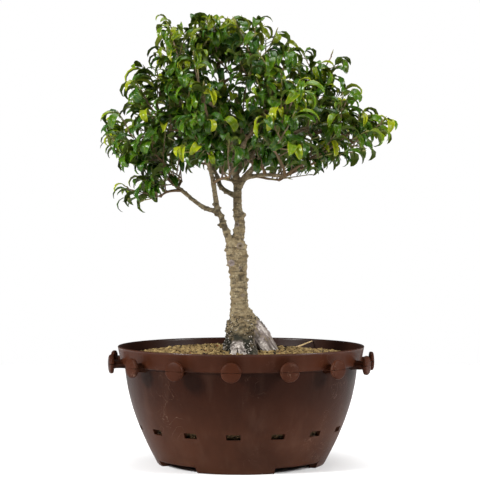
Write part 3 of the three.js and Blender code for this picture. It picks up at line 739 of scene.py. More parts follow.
# The trunk's middle line and, below it, each root's from the trunk down: x, y, height over the soil, radius.
TRUNK_LINE = [
    (4, 0, -30, 12),
    (4, 0, -14, 14),
    (3.4, 0, 0, 16),
    (2.6, 0, 8, 17.2),
    (1.6, 0, 19, 18),
    (1, 0, 28, 14.9),
    (0, 0, 34, 12.2),
    (-1.3, 0, 39, 10.2),
    (-1.7, 0, 46, 9.2),
    (-2.4, 0, 60, 8.9),
    (-2.8, 0, 72, 9),
    (-3.4, 0, 84, 9.8),
    (-4.2, 0, 94, 10.8),
    (-4.7, 0, 102, 10.7),
    (-5.1, 0, 107, 10.8),
    (-5, 0, 110, 9.2),
    (-4.7, 0, 113, 6),
]
ROOTS = [
    [
        *[(3, 0, 29, 10), (10.5, -2, 20.5, 11.5), (18.5, -4, 10.5, 12)],
        *[(25, -6, 0, 11.5), (32, -8, -11, 10), (38, -10, -23, 7)],
    ],
    [(4, -8, 8, 9), (9, -19, -2, 7.5), (15, -30, -14, 5)],
    [(-5, -5, 12, 10), (-11, -11, -2, 8), (-17, -22, -15, 5)],
    [(-4, 2, 8, 10), (-12, 1, -3, 8), (-24, -2, -15, 4)],
    [(-2, 6, 9, 10), (-9, 17, -4, 7), (-16, 28, -15, 4)],
    [(5, 6, 11, 10), (13, 16, -1, 8), (22, 28, -13, 5)],
    [(-3.5, -13, 11, 3.4), (-5.5, -20, 3.5, 4.2), (-7.5, -25, -2.5, 4), (-9.5, -29, -11, 3.4)],
    [(-3.2, -13, 11, 3.2), (-1.6, -21, 3, 3.8), (1.0, -26, -3, 3.6), (3.4, -30, -12, 3)],
]
# Each limb: its radius at its start, and its points from the fork, in shares of the crown's size.
LIMBS = [
    (6.7, [(0, 0, -0.03), (0.027, 0, 0.045), (0.010, 0, 0.14), (0.01, 0, 0.225), (-0.014, 0, 0.327)]
        + [(-0.056, 0.046, 0.478), (-0.095, 0.03, 0.646), (-0.12, 0, 0.78)]),
    (4.0, [(0.01, 0, 0.215), (0.05, -0.02, 0.262), (0.09, -0.03, 0.293), (0.19, -0.08, 0.36)]
        + [(0.344, -0.14, 0.444), (0.54, -0.22, 0.5)]),
    (4.9, [(-0.01, 0, -0.05), (-0.044, -0.01, -0.012), (-0.066, -0.02, 0.03), (-0.092, -0.03, 0.075)]
        + [(-0.116, -0.04, 0.112), (-0.205, -0.06, 0.133), (-0.28, -0.077, 0.165), (-0.42, -0.1, 0.24)]),
    (3.5, [(-0.116, -0.04, 0.106), (-0.128, -0.05, 0.135), (-0.136, -0.06, 0.169), (-0.157, -0.138, 0.259)]
        + [(-0.198, -0.23, 0.352), (-0.275, -0.338, 0.457)]),
    (3.0, [(0.008, 0.015, 0.183), (-0.101, 0.092, 0.23), (-0.146, 0.23, 0.301), (-0.256, 0.4, 0.394)]),
    (3.6, [(-0.005, 0, 0.289), (0.1, 0.17, 0.373), (0.215, 0.385, 0.47)]),
    (3.6, [(-0.017, 0, 0.343), (0.073, -0.17, 0.43), (0.176, -0.37, 0.53)]),
    (3.4, [(-0.056, 0.046, 0.478), (0.11, 0.06, 0.583), (0.29, 0.09, 0.68)]),
    (3.3, [(-0.069, 0.038, 0.529), (-0.224, 0, 0.625), (-0.366, -0.04, 0.697)]),
    (2.7, [(0.04, 0, 0.255), (0.09, -0.02, 0.272), (0.2, -0.12, 0.28), (0.33, -0.2, 0.272)]),
]
# Each stub of a pruned twig: its place in shares of the crown's size, its direction, length and radius.
STUBS = [
    ((0.035, 0, 0.1), (1, -0.3, 0.35), 5.0, 2.8),
    ((0.03, 0, 0.07), (1, -0.5, 0.1), 5.0, 2.0),
    ((-0.02, 0, -0.04), (1, -0.4, 0.5), 12.5, 2.6),
    ((0, 0, -0.2), (1, -0.2, 0.3), 12.5, 2.4),
    ((0, 0, -0.01), (-1, -0.5, 0.6), 12, 2.6),
    ((0.005, 0, 0.24), (-1, -0.3, 0.7), 13, 1.3),
    ((-0.088, -0.03, 0.05), (-1, -0.2, 0.4), 6.8, 1.7),
    ((-0.11, -0.04, 0.1), (-1, -0.3, 0.2), 6, 1.5),
    ((-0.131, -0.05, 0.14), (-1, -0.3, 0.6), 5.2, 1.3),
    ((-0.129, -0.05, 0.13), (1, -0.4, 0.3), 5.4, 1.3),
]
# Each old pruning cut, healed to a lipped eye on the trunk's front: its place, its size and its ring's lift.
KNOTS = [
    ((-1.0, -10.0, 228.0), 2.6, 1.0),
    ((-5.0, -6.0, 250.5), 2.4, 0.8),
    ((-10.0, -7.0, 210.0), 2.8, 0.5),
    ((-1.0, -9.5, 205.0), 1.3, 0.5),
    ((2.0, -9.0, 176.0), 1.6, 0.6),
]
VOXEL = 0.84
TRUNK_SCARS = 330
LIMB_SCARS = 170
CRUMBS = 1700
# The twigs stand this much over the middle of a shoot, because its leaves hang.
LEAF_HANG = 9.0
SHOOT_BACK = 24.0
SHOOT_AHEAD = 11.0
BRANCH_SIDES = 8
BARK_COLOURS = {
    "beige": (128, 115, 88),
    "grey": (100, 85, 59),
    # crease: dark lines and specks of the bark, and painted shade in the dents of its relief
    "crease": (42, 34, 22),
    "moss": (28, 27, 16),
    "pale": (184, 176, 168),
    "mauve": (104, 93, 88),
    "fleck": (178, 168, 138),
    "twig": (92, 72, 47),
    "green_twig": (104, 98, 44),
}


def crown(share):
    """A place in the crown, in millimetres, from shares of its half width, half depth and height."""
    return FORK + np.asarray(share, float) * CROWN


def sweep_line(points, count):
    """A smooth line through points: each stretch is a cubic whose ends head along their neighbours' chord."""
    line = np.asarray(points, float)
    line = np.concatenate([2 * line[:1] - line[1:2], line, 2 * line[-1:] - line[-2:-1]])
    along = np.linspace(0, len(line) - 3, count)
    start = np.minimum(along.astype(int), len(line) - 4)
    t = (along - start)[:, None]
    a, b, c, d = (line[start + i] for i in range(4))
    bend, twist = 2 * a - 5 * b + 4 * c - d, 3 * b - a - 3 * c + d
    return 0.5 * (2 * b + (c - a) * t + bend * t**2 + twist * t**3)


def stems(lines, radii, sides):
    """Round stems: a ring of corners about each point of each line, square to it, and both ends closed to a
    point. lines is (stems, points, 3) and radii is (stems, points)."""
    count, steps = radii.shape
    heading = np.gradient(lines, axis=1)
    heading /= np.linalg.norm(heading, axis=-1, keepdims=True) + 1e-12
    mean = heading.mean(1, keepdims=True)
    reference = np.where(np.abs(mean[..., 2:]) > 0.7, [1.0, 0.2, 0.0], [0.1, 0.0, 1.0])
    first = np.cross(heading, reference)
    first /= np.linalg.norm(first, axis=-1, keepdims=True) + 1e-12
    second = np.cross(heading, first)
    turn = 2 * np.pi * np.arange(sides) / sides
    spokes = first[:, :, None] * np.cos(turn)[:, None] + second[:, :, None] * np.sin(turn)[:, None]
    rings = lines[:, :, None] + radii[..., None, None] * spokes
    start, end = heading[:, 0] * radii[:, :1] * 0.5, heading[:, -1] * radii[:, -1:] * 0.5
    ends = np.stack([lines[:, 0] - start, lines[:, -1] + end], 1)
    each = steps * sides + 2
    points = np.concatenate([rings.reshape(count, -1, 3), ends], 1)
    faces = [
        ring_grid(steps, sides).reshape(-1, 4),
        fan(each - 2, np.arange(sides)),
        fan(each - 1, np.arange((steps - 1) * sides, steps * sides))[:, ::-1],
    ]
    faces = outward(points[0] - points[0].mean(0), faces)
    shift = each * np.arange(count)[:, None, None]
    return points.reshape(-1, 3), [(group[None] + shift).reshape(-1, group.shape[1]) for group in faces]


limb_lines = [(radius, sweep_line(crown(np.array(shares)), 40)) for radius, shares in LIMBS]
thick = []
for line in (TRUNK_LINE, *ROOTS):
    smooth_line = sweep_line([(x, y, SOIL_TOP + z, r) for x, y, z, r in line], 48)
    thick.append(stems(smooth_line[None, :, :3], smooth_line[None, :, 3], 28))
for radius, line in limb_lines:
    share = np.linspace(0, 1, len(line))
    girth = radius + (LIMB_END - radius) * share**0.8
    thick.append(stems(line[None], girth[None] * (1 + 0.06 * grain(line, 9.0, 3)), 16))
for place, heading, length, radius in STUBS:
    heading = np.array(heading) / np.linalg.norm(heading)
    line = crown(place) + heading * np.linspace(0, length, 6)[:, None]
    thick.append(stems(line[None], np.array([[1.1, 1.05, 1, 0.95, 1.0, 0.8]]) * radius, 10))
rough_points, rough_faces = join(thick)
cast = body("wood_cast", rough_points * MM, rough_faces, [])
fuse = cast.modifiers.new("fuse", "REMESH")
fuse.mode, fuse.voxel_size = "VOXEL", VOXEL * MM
soften = cast.modifiers.new("soften", "SMOOTH")
soften.factor, soften.iterations = 0.5, 5
wood_points, wood_normals, wood_faces = worked(cast, 4)

# Bark relief: broad swellings, ring wrinkles that run round the stem, fine roughness and small raised scars.
flat_rings = wood_points * [0.28, 0.28, 1.0]
relief = (
    0.6 * grain(wood_points, 9.0, 11)
    + 0.7 * grain(flat_rings, 2.1, 12)
    + 0.5 * grain(wood_points, 3.1, 13)
    + 0.4 * grain(wood_points, 1.6, 14)
)
on_right_root = np.clip((wood_points[:, 0] - 11) / 8, 0, 1)
on_right_root *= np.clip((152 - wood_points[:, 2]) / 8, 0, 1)
girth_here = np.clip((285 - wood_points[:, 2]) / 60, 0.35, 1) * (1 - 0.65 * on_right_root)
on_trunk = (wood_points[:, 2] > 124) & (wood_points[:, 2] < 246)
scar_choice = np.concatenate(
    [
        chance.choice(np.where(on_trunk)[0], TRUNK_SCARS, replace=False),
        chance.choice(np.where(wood_points[:, 2] > 240)[0], LIMB_SCARS, replace=False),
    ]
)
scar_sizes = chance.uniform(0.55, 1.1, TRUNK_SCARS + LIMB_SCARS)
scar_lift = chance.uniform(0.3, 1.35, TRUNK_SCARS + LIMB_SCARS)
scars = np.zeros(len(wood_points))
for place, size, lift in zip(wood_points[scar_choice], scar_sizes, scar_lift):
    scars += lift * np.exp(-((wood_points - place) ** 2).sum(1) / (2 * size**2))
knot_core, knot_lip = np.zeros(len(wood_points)), np.zeros(len(wood_points))
for place, size, lift in KNOTS:
    away = np.sqrt((((wood_points - place) * [1, 0.7, 1.25]) ** 2).sum(1))
    scars += lift * np.exp(-((away - size) ** 2) / (0.45 * size))
    scars -= 0.7 * lift * np.exp(-((away / (0.6 * size)) ** 2))
    knot_core += np.exp(-((away / (0.75 * size)) ** 2))
    knot_lip += 0.32 * np.exp(-((away - 1.15 * size) ** 2) / (0.3 * size))
wood_points = wood_points + wood_normals * ((relief * girth_here + scars)[:, None])
wrinkle = relief + 0.5 * scars

shoot_names = sorted(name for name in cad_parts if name.startswith("leaf_shoot_"))
shoot_boxes = [[np.array(corner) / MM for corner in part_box(name)] for name in shoot_names]
shoot_centres = np.array([(low + high) / 2 for low, high in shoot_boxes]) + [0, 0, LEAF_HANG]
CROWN_HEART = crown((-0.02, 0, 0.2))
outwards = shoot_centres - CROWN_HEART
outwards /= np.linalg.norm(outwards, axis=1, keepdims=True)
outwards[:, 2] += 0.22
outwards /= np.linalg.norm(outwards, axis=1, keepdims=True)
shoot_bases = shoot_centres - SHOOT_BACK * outwards
shoot_tips = shoot_centres + SHOOT_AHEAD * outwards
limb_points = np.concatenate([line[6:] for _, line in limb_lines])
limb_gap = shoot_bases[:, None] - limb_points[None]
cost = np.linalg.norm(limb_gap, axis=-1) + 0.9 * np.clip(-limb_gap[..., 2] + 6, 0, None)
anchors = limb_points[cost.argmin(1)]
share = np.linspace(0, 1, 22)[None, :, None]
rest = 1 - share
bend = (anchors + shoot_bases) / 2
bend[:, 2] += 0.12 * np.linalg.norm(shoot_bases - anchors, axis=1)
bend = bend + chance.normal(0, 4.0, bend.shape)
branch_lines = rest**2 * anchors[:, None] + 2 * share * rest * bend[:, None] + share**2 * shoot_bases[:, None]
wiggle = np.stack([grain(branch_lines, 17.0, seed) for seed in (21, 22, 23)], -1)
branch_lines = branch_lines + wiggle * 1.6 * np.sin(np.pi * share)
branch_radii = (1.75 - 0.85 * share[..., 0]) * (1 + 0.12 * grain(branch_lines, 6.0, 24))
branches_part = stems(branch_lines, branch_radii, BRANCH_SIDES)
wood_part = (wood_points, [wood_faces])

# Grit and scraps of moss cling to the foot of the trunk, above the soil and in the clefts between the roots.
base_height = wood_points[:, 2] - SOIL_TOP
near_soil = chance.uniform(0, 34, len(base_height)) > base_height * 0.8
near_soil &= (base_height > -11) & (base_height < 34)
near_soil &= (wood_points[:, 0] < 12) | (wood_normals[:, 2] > 0.62)
near_soil &= (np.abs(wood_points[:, 0] + 3.5) > 6.5) | (wood_points[:, 1] > -17)
crumb_choice = chance.choice(np.where(near_soil)[0], CRUMBS, replace=False)
crumb_sizes = chance.uniform(0.35, 0.85, CRUMBS)
crumbs_part = pebbles(wood_points[crumb_choice] + 0.2 * wood_normals[crumb_choice], crumb_sizes)
all_wood_points, all_wood_faces = join([wood_part, branches_part, crumbs_part])

bark, rind = material("fig_bark")
bark_spot = rind.node("ShaderNodeTexCoord", out=3)
ring_spot = rind.node("ShaderNodeMapping", None, {0: bark_spot, "Scale": (0.32, 0.32, 1.2)})
young = marked(rind, "youth")
mossy = marked(rind, "moss")
pale = marked(rind, "pale")
hollow = marked(rind, "crease")
blotch = cloud(rind, bark_spot, 110.0, 4.0, 0.6)
rings = cloud(rind, ring_spot, 400.0, 4.0, 0.65)
specks = cloud(rind, bark_spot, 760.0, 4.0, 0.7)
flecks = cloud(rind, bark_spot, 480.0, 3.0, 0.6, 0.5)
bark_colour = blotch.between(0.35, 0.68).mix(paint(*BARK_COLOURS["grey"]), paint(*BARK_COLOURS["beige"]))
bark_colour = (rings.between(0.5, 0.64) * 0.75).mix(bark_colour, paint(*BARK_COLOURS["crease"]))
bark_colour = (specks.between(0.56, 0.68) * 0.75).mix(bark_colour, paint(*BARK_COLOURS["crease"]))
bark_colour = (flecks.between(0.6, 0.68) * 0.55).mix(bark_colour, paint(*BARK_COLOURS["fleck"]))
# Painted shade: the crease mark darkens the dents of the bark relief and the knots' cores; on crumbs it is
# grit.
bark_colour = (hollow * 0.8).mix(bark_colour, paint(*BARK_COLOURS["crease"]))
bark_colour = young.between(0.15, 0.7).mix(bark_colour, paint(*BARK_COLOURS["twig"]))
bark_colour = pale.between(0.05, 0.4).mix(bark_colour, paint(*BARK_COLOURS["mauve"]))
palest = pale.between(0.35, 1.0) * specks.between(0.35, 0.55)
bark_colour = palest.mix(bark_colour, paint(*BARK_COLOURS["pale"]))
bark_colour = (mossy * blotch.between(0.25, 0.5)).mix(bark_colour, paint(*BARK_COLOURS["moss"]))
principled(
    rind,
    {
        "Base Color": bark_colour,
        "Roughness": 0.72 + specks * 0.2,
        "Specular IOR Level": 0.3,
        "Normal": rough(rind, 0.8, 0.0008, rings * 0.6 + specks * 0.5),
    },
)
wood = body("wood", all_wood_points * MM, all_wood_faces, [bark])
thin = len(branches_part[0])
mottled = grain(wood_points, 6.0, 31)
moss = np.clip(1.15 - np.abs(base_height - 6) / 15 + 0.55 * mottled, 0, 1) * (wood_points[:, 0] < 20)
moss += 0.7 * np.clip(1 - base_height / 9, 0, 1)
down_root = wood_points[:, 0] * 0.6 - wood_points[:, 2] * 0.8
over_root = wood_points[:, 0] * 0.8 + wood_points[:, 2] * 0.6
streaks = grain(np.stack([down_root * 0.13, wood_points[:, 1] * 0.8, over_root * 0.9], -1), 1.4, 32)
front_roots = [sweep_line([(x, y, SOIL_TOP + z) for x, y, z, _ in root], 16) for root in ROOTS[-2:]]
front_roots = np.concatenate(front_roots)
from_front_roots = np.linalg.norm(wood_points[:, None] - front_roots[None], axis=-1).min(1)
on_front_roots = np.clip((5.0 - from_front_roots) / 0.9, 0, 1) * np.clip((9 - base_height) / 4, 0, 1)
pale_here = on_right_root * (0.5 + 0.6 * streaks) + on_front_roots * (0.85 + 0.5 * streaks)
pale_here = np.clip(pale_here, 0, 1)
pale_here += knot_lip + 0.45 * np.exp(-(((wood_points - [-10, -7, 210]) / [3, 4, 3]) ** 2).sum(1))
pale_crumb = np.repeat(chance.uniform(0, 1, CRUMBS) < 0.2, 12) * 1.0
bark_youth = np.clip((wood_points[:, 2] - 290) / 130, 0, 0.35)
bark_moss = moss.clip(0, 1) * (1 - pale_here.clip(0, 1))
# Painted shade in the dents of the relief; the knots' sunken cores are darkened too.
crease_shade_and_dark_knots = np.clip(-wrinkle * 1.4 - 0.25 + 1.3 * knot_core, 0, 1)
mark(wood, "youth", np.concatenate([bark_youth, np.full(thin, 0.75), 0 * pale_crumb]))
mark(wood, "moss", np.concatenate([bark_moss, np.zeros(thin), 1 - pale_crumb]))
mark(wood, "pale", np.concatenate([pale_here.clip(0, 1), np.zeros(thin), pale_crumb]))
mark(wood, "crease", np.concatenate([crease_shade_and_dark_knots, np.full(thin, 0.1), 0.6 * (1 - pale_crumb)]))
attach(wood, "root")
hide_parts("trunk")


# ---- Leafy shoots ----
# Each branch ends in a spray of thin side twigs with alternate leaves: small, glossy, folded along the pale
# midrib and hooked down to a drawn-out tip. The outermost leaves are young and yellow-green, leaves deep in
# the crown and at its top are painted darker as shade, and a bud closes each twig.

TWIGS_PER_SHOOT = 7
LEAVES_PER_TWIG = 8
LEAF_LENGTH = 27.0
LEAF_WIDTH = 13.5
STALK = 5.0
GOLDEN_TURN = math.radians(137.5)
LINE_STEPS = 7
LEAD_STEPS = 8
TWIG_SIDES = 5
LEAD_SIDES = 6
TWIG_RADII = np.array([[0.85, 0.8, 0.72, 0.64, 0.58, 0.53, 0.5, 0.78, 0.12]])
BLADE_STATIONS = np.array([0.05, 0.18, 0.36, 0.55, 0.74, 0.9, 1.0])
# The crown's left and right outlines: heights, then how far sideways the leaves reach there.
CROWN_LEFT = [
    (280, 305, 318, 340, 372, 403, 435, 467),
    (-133, -124, -139, -152, -143, -125, -104, -88),
]
CROWN_RIGHT = [
    (290, 308, 330, 350, 360, 368, 393, 424, 437, 450, 467),
    (60, 98, 148, 156, 144, 118, 128, 116, 100, 56, 44),
]
OUTLINE_PLAY = 6
TWIG_INSET = 12
PULLS = 4
PULL = 0.65
LEAF_COLOURS = {
    # old: the dark green of old leaves, also painted shade for the leaves deep in the crown
    "old": (32, 63, 8),
    "grown": (60, 92, 4),
    "young": (140, 142, 16),
    "under": (76, 86, 22),
    "rib": (116, 128, 34),
    # sheen: a dark blue-green, the own tone of some older leaves and painted shade on the top leaves
    "dark_blue_green": (18, 50, 20),
}


def blades(base, bearing, lift, curl, length, width, fold, roll):
    """Leaves as closed skins. Each midrib leaves its twig at the angle lift over the ground and bends down by
    curl. The half width goes as the share of the length to the power 0.7, times what is left of it to the
    power 0.85, and both halves rise by fold."""
    count = len(base)
    stalk = STALK * length / LEAF_LENGTH
    station = np.concatenate([[-1.0, 0.0], BLADE_STATIONS])
    blade_share = np.clip(station, 0, 1)
    angle = lift[:, None] - curl[:, None] * (blade_share**1.1) * (station >= 0)
    steps = np.diff(blade_share)[None] * length[:, None]
    steps[:, 0] = stalk
    middle = (angle[:, 1:] + angle[:, :-1]) / 2
    run = np.concatenate([np.zeros((count, 1)), np.cumsum(steps * np.cos(middle), 1)], 1)
    rise = np.concatenate([np.zeros((count, 1)), np.cumsum(steps * np.sin(middle), 1)], 1)
    ahead = np.stack([np.cos(bearing), np.sin(bearing), 0 * bearing], -1)
    side = np.stack([-np.sin(bearing), np.cos(bearing), 0 * bearing], -1)
    upright = np.cos(roll)[:, None] * [0, 0, 1] + np.sin(roll)[:, None] * side
    beside = np.cross(upright, ahead)
    centre = base[:, None] + run[..., None] * ahead[:, None] + rise[..., None] * upright[:, None]
    normal = -np.sin(angle)[..., None] * ahead[:, None] + np.cos(angle)[..., None] * upright[:, None]
    shape = np.where(station > 0, blade_share**0.7 * (1 - blade_share) ** 0.85 / 0.344, 0)
    half = shape[None] * width[:, None] / 2 + np.where(station <= 0.0, 0.42, 0.03)
    thick = np.where(station <= 0, 0.42, 0.13 + 0.1 * (1 - blade_share))[None] + 0 * half
    lift_side = np.sin(fold)[:, None] * (station > 0)
    across = np.array([-1, -0.5, 0, 0.5, 1, 0])
    rounding = np.array([0, 0.85, 1, 0.85, 0, -1])
    ripple = 0.1 * np.sin(station[None] * 9 + 40 * bearing[:, None])
    sideways = half[..., None] * across * np.sqrt(1 - lift_side**2)[..., None]
    arch = np.abs(across) - 0.25 * np.abs(across) ** 2
    wave = ripple[..., None] * across**3 * (station > 0)[:, None]
    upwards = half[..., None] * (lift_side[..., None] * arch + wave) + thick[..., None] * rounding
    aside = sideways[..., None] * beside[:, None, None]
    return centre[:, :, None] + aside + upwards[..., None] * normal[:, :, None]


def leaf_skin(rings):
    """Corners, faces and the leaf's own chart: across runs 0 to 1 on top and 1 to 2 below, and along runs
    from the stalk to the tip."""
    count, stations, sides = rings.shape[:3]
    grid = ring_grid(stations, sides).reshape(-1, 4)
    each = stations * sides
    caps = np.array([[0, 1, 2, 5], [2, 3, 4, 5]])
    end = caps[:, ::-1] + (stations - 1) * sides
    quads = np.concatenate([grid, caps[:, ::-1], end[:, ::-1]])
    probe = rings[0].reshape(-1, 3)
    flipped = outward(probe - probe.mean(0), [grid])[0] is not grid
    along = np.concatenate([[-0.2, 0.0], BLADE_STATIONS])
    left_u = np.array([0, 0.25, 0.5, 0.75, 1.0, 1.5])
    right_u = np.append(left_u[1:], 2.0)
    u = np.stack([left_u, right_u, right_u, left_u], -1)[None].repeat(stations - 1, 0)
    v = np.stack([along[:-1], along[:-1], along[1:], along[1:]], -1)[:, None].repeat(sides, 1)
    chart = np.stack([u, v], -1).reshape(-1, 4, 2)
    chart = np.concatenate([chart, np.full((4, 4, 2), (0.5, -0.2))])
    chart[-2:] = (0.5, 1.0)
    if flipped:
        quads, chart = quads[:, ::-1], chart[:, ::-1]
    faces = (quads[None] + each * np.arange(count)[:, None, None]).reshape(-1, 4)
    return rings.reshape(-1, 3), faces, np.tile(chart.reshape(-1, 2), (count, 1))


leaf_finish, lamina = material("fig_leaf")
leaf_chart = lamina.node("ShaderNodeUVMap", {"uv_map": "leaf_chart"})
chart_parts = [lamina.node("ShaderNodeSeparateXYZ", None, {0: leaf_chart}, axis) for axis in (0, 1)]
leaf_spot = lamina.node("ShaderNodeTexCoord", out=3)
below = chart_parts[0].math("GREATER_THAN", 1.0)
from_rib = (chart_parts[0] - below - 0.5).math("ABSOLUTE")
rib = 1 - from_rib.between(0.012, 0.05)
vein_run = (chart_parts[1] * 9.0 - from_rib * 5.0).math("FRACT")
veins = (1 - (vein_run - 0.5).math("ABSOLUTE").between(0.02, 0.12)) * from_rib.between(0.02, 0.12)
margin = from_rib.between(0.32, 0.5)
cells_of_leaf = cloud(lamina, leaf_spot, 260.0, 3.0, 0.6)
# The youth mark carries both the leaf's age and painted shade inside the crown.
leaf_age_and_inner_shade = marked(lamina, "youth") + (cells_of_leaf - 0.5) * 0.3 + margin * 0.24
leaf_stops = [(0.0, "old"), (0.42, "grown"), (0.95, "young")]
leaf_stops = [(place, paint(*LEAF_COLOURS[name])) for place, name in leaf_stops]
leaf_colour = lamina.node("ShaderNodeValToRGB", {"stops": leaf_stops}, {0: leaf_age_and_inner_shade})
leaf_colour = (veins * 0.16 + rib * 0.5).mix(leaf_colour, paint(*LEAF_COLOURS["rib"]))
# Painted shade over the top leaves, and the own dark blue-green tone of some older leaves.
leaf_colour = (marked(lamina, "shade") * 0.5).mix(leaf_colour, paint(*LEAF_COLOURS["dark_blue_green"]))
leaf_colour = (below * 0.6).mix(leaf_colour, paint(*LEAF_COLOURS["under"]))
principled(
    lamina,
    {
        "Base Color": leaf_colour,
        "Roughness": 0.17 + below * 0.35 + cells_of_leaf * 0.12,
        "Specular IOR Level": 0.2,
        "Normal": rough(lamina, 0.5, 0.0004, cells_of_leaf * 0.8 - rib * 0.8 - veins * 0.35),
    },
)

stem_finish, shootwood = material("young_stem")
stem_spot = shootwood.node("ShaderNodeTexCoord", out=3)
stem_specks = cloud(shootwood, stem_spot, 900.0, 3.0)
stem_green = (marked(shootwood, "youth") + (stem_specks - 0.5) * 0.4).between(0.3, 0.9)
stem_colour = stem_green.mix(paint(*BARK_COLOURS["twig"]), paint(*BARK_COLOURS["green_twig"]))
stem_relief = rough(shootwood, 0.5, 0.0004, stem_specks)
principled(shootwood, {"Base Color": stem_colour, "Roughness": 0.6, "Normal": stem_relief})

limit_low, limit_high = (np.array(corner) / MM for corner in cad_box)


def underside(across):
    """The height that the lowest leaves stay over: level by the trunk, and lower out along the side limbs."""
    left, right = np.clip((-64 - across) / 24, 0, 1), np.clip((across - 50) / 40, 0, 1)
    return 302 - 42 * left**2 * (3 - 2 * left) - 12 * right


def outside_crown(places, inset):
    """Whether places are within inset of the crown's left or right outline, or past it."""
    left, right = (np.interp(places[:, 2], *outline) for outline in (CROWN_LEFT, CROWN_RIGHT))
    return (places[:, 0] < left + inset) | (places[:, 0] > right - inset)


for number, name in enumerate(shoot_names):
    out, tip, root = outwards[number], shoot_tips[number], shoot_bases[number]
    branch = branch_lines[number]
    axis_line = np.concatenate([branch[8:], root + (tip - root) * np.linspace(0.12, 1, 8)[:, None]])
    picks = np.linspace(2, len(axis_line) - 1, TWIGS_PER_SHOOT).astype(int)
    starts = axis_line[picks]
    spin = GOLDEN_TURN * np.arange(TWIGS_PER_SHOOT) + chance.uniform(0, 6.28)
    flat = np.cross(out, [0, 0, 1.0])
    flat /= np.linalg.norm(flat)
    upper = np.cross(flat, out)
    away = np.radians(chance.uniform(38, 72, TWIGS_PER_SHOOT))
    away[-1] = np.radians(10)
    spoke = np.cos(spin)[:, None] * flat + np.sin(spin)[:, None] * upper
    toward = np.cos(away)[:, None] * out + np.sin(away)[:, None] * spoke
    toward[:, 2] += 0.3
    toward /= np.linalg.norm(toward, axis=1, keepdims=True)
    reach_of = chance.uniform(22, 40, TWIGS_PER_SHOOT) * np.where(away < 0.3, 0.55, 1)
    share = np.linspace(0, 1, LINE_STEPS)[None, :, None]
    ends = starts + toward * reach_of[:, None] + np.array([0, 0, 1.0]) * (reach_of * 0.12)[:, None]
    ends[:, 2] = np.minimum(ends[:, 2], limit_high[2] - chance.uniform(6, 14, TWIGS_PER_SHOOT))
    for _ in range(PULLS):
        beyond = outside_crown(ends, TWIG_INSET) | (ends[:, 2] < underside(ends[:, 0]) + 8)
        ends = np.where(beyond[:, None], starts + PULL * (ends - starts), ends)
    twig_lines = (1 - share) * starts[:, None] + share * ends[:, None]
    twig_lines = twig_lines + np.sin(np.pi * share) * toward[:, None] * [0, 0, 2.0]
    bud = ends[:, None] + toward[:, None] * np.array([-0.5, 2.2, 6.0])[None, :, None]
    twig_lines = np.concatenate([twig_lines[:, :-1], bud], 1)
    twig_radii = TWIG_RADII * chance.uniform(0.85, 1.15, (TWIGS_PER_SHOOT, 1))
    lead_places = np.concatenate([branch[-2:], [root + (tip - root) * 0.5], [tip]])
    lead_line = sweep_line(lead_places, LEAD_STEPS)[None]
    lead_radii = np.linspace(0.95, 0.7, LEAD_STEPS)[None]
    stem_parts = [stems(twig_lines, twig_radii, TWIG_SIDES), stems(lead_line, lead_radii, LEAD_SIDES)]

    along = np.tile(np.linspace(0.14, 1.0, LEAVES_PER_TWIG), TWIGS_PER_SHOOT)
    which = np.repeat(np.arange(TWIGS_PER_SHOOT), LEAVES_PER_TWIG)
    leaf_base = starts[which] + (ends - starts)[which] * along[:, None]
    hand = np.where(np.arange(len(which)) % 2 == 0, 1.0, -1.0)
    twig_way = toward[which]
    side_way = np.cross(twig_way, [0, 0, 1.0])
    side_way /= np.linalg.norm(side_way, axis=1, keepdims=True) + 1e-9
    sideways = hand * chance.uniform(0.35, 0.95, len(which))
    lean = 0.55 * twig_way + sideways[:, None] * side_way + 0.75 * out
    lean[:, :2] += chance.normal(0, 0.18, (len(which), 2))
    leaf_bearing = np.arctan2(lean[:, 1], lean[:, 0])
    age_mix = chance.uniform(0, 1, len(which))
    from_heart = np.linalg.norm((leaf_base - CROWN_HEART) / (CROWN * [1, 1, 0.74]), axis=1)
    # Painted shade: leaves near the crown's heart get low youth, so the dark old colour stands for shade
    # inside.
    youth = 0.9 * (from_heart - 0.62) + 0.2 * along**2 + 0.62 * (age_mix - 0.5) * (0.3 + along)
    youth = np.clip(youth + 0.25 * (age_mix > 0.95), 0.0, 0.72)
    size = 1 - 0.42 * np.clip(youth - 0.35, 0, 1) * (along > 0.8)
    size = size * chance.uniform(0.72, 1.08, len(which))
    rings_of_leaves = blades(
        leaf_base,
        leaf_bearing,
        np.radians(chance.uniform(0, 62, len(which))),
        np.radians(chance.uniform(95, 205, len(which))),
        LEAF_LENGTH * size,
        LEAF_WIDTH * size * chance.uniform(0.6, 1.05, len(which)) * (1 - 0.25 * youth),
        np.radians(chance.uniform(14, 50, len(which))),
        np.radians(chance.normal(0, 22, len(which))),
    )
    reach_low, reach_high = rings_of_leaves.min((1, 2)), rings_of_leaves.max((1, 2))
    kept = (reach_low > limit_low - 3).all(1) & (reach_high < limit_high + 3).all(1)
    kept &= reach_low[:, 2] > underside(leaf_base[:, 0])
    kept &= reach_high[:, 2] < limit_high[2] + 2 - chance.gamma(1.5, 4.0, len(kept))
    middle_height = (reach_low + reach_high)[:, 2] / 2
    left_play, right_play = chance.uniform(0, OUTLINE_PLAY, (2, len(kept)))
    kept &= reach_low[:, 0] > np.interp(middle_height, *CROWN_LEFT) - left_play
    kept &= reach_high[:, 0] < np.interp(middle_height, *CROWN_RIGHT) + right_play
    kept &= chance.uniform(0, 1, len(kept)) < 0.62 + 0.34 * np.clip((leaf_base[:, 2] - 330) / 60, 0, 1)
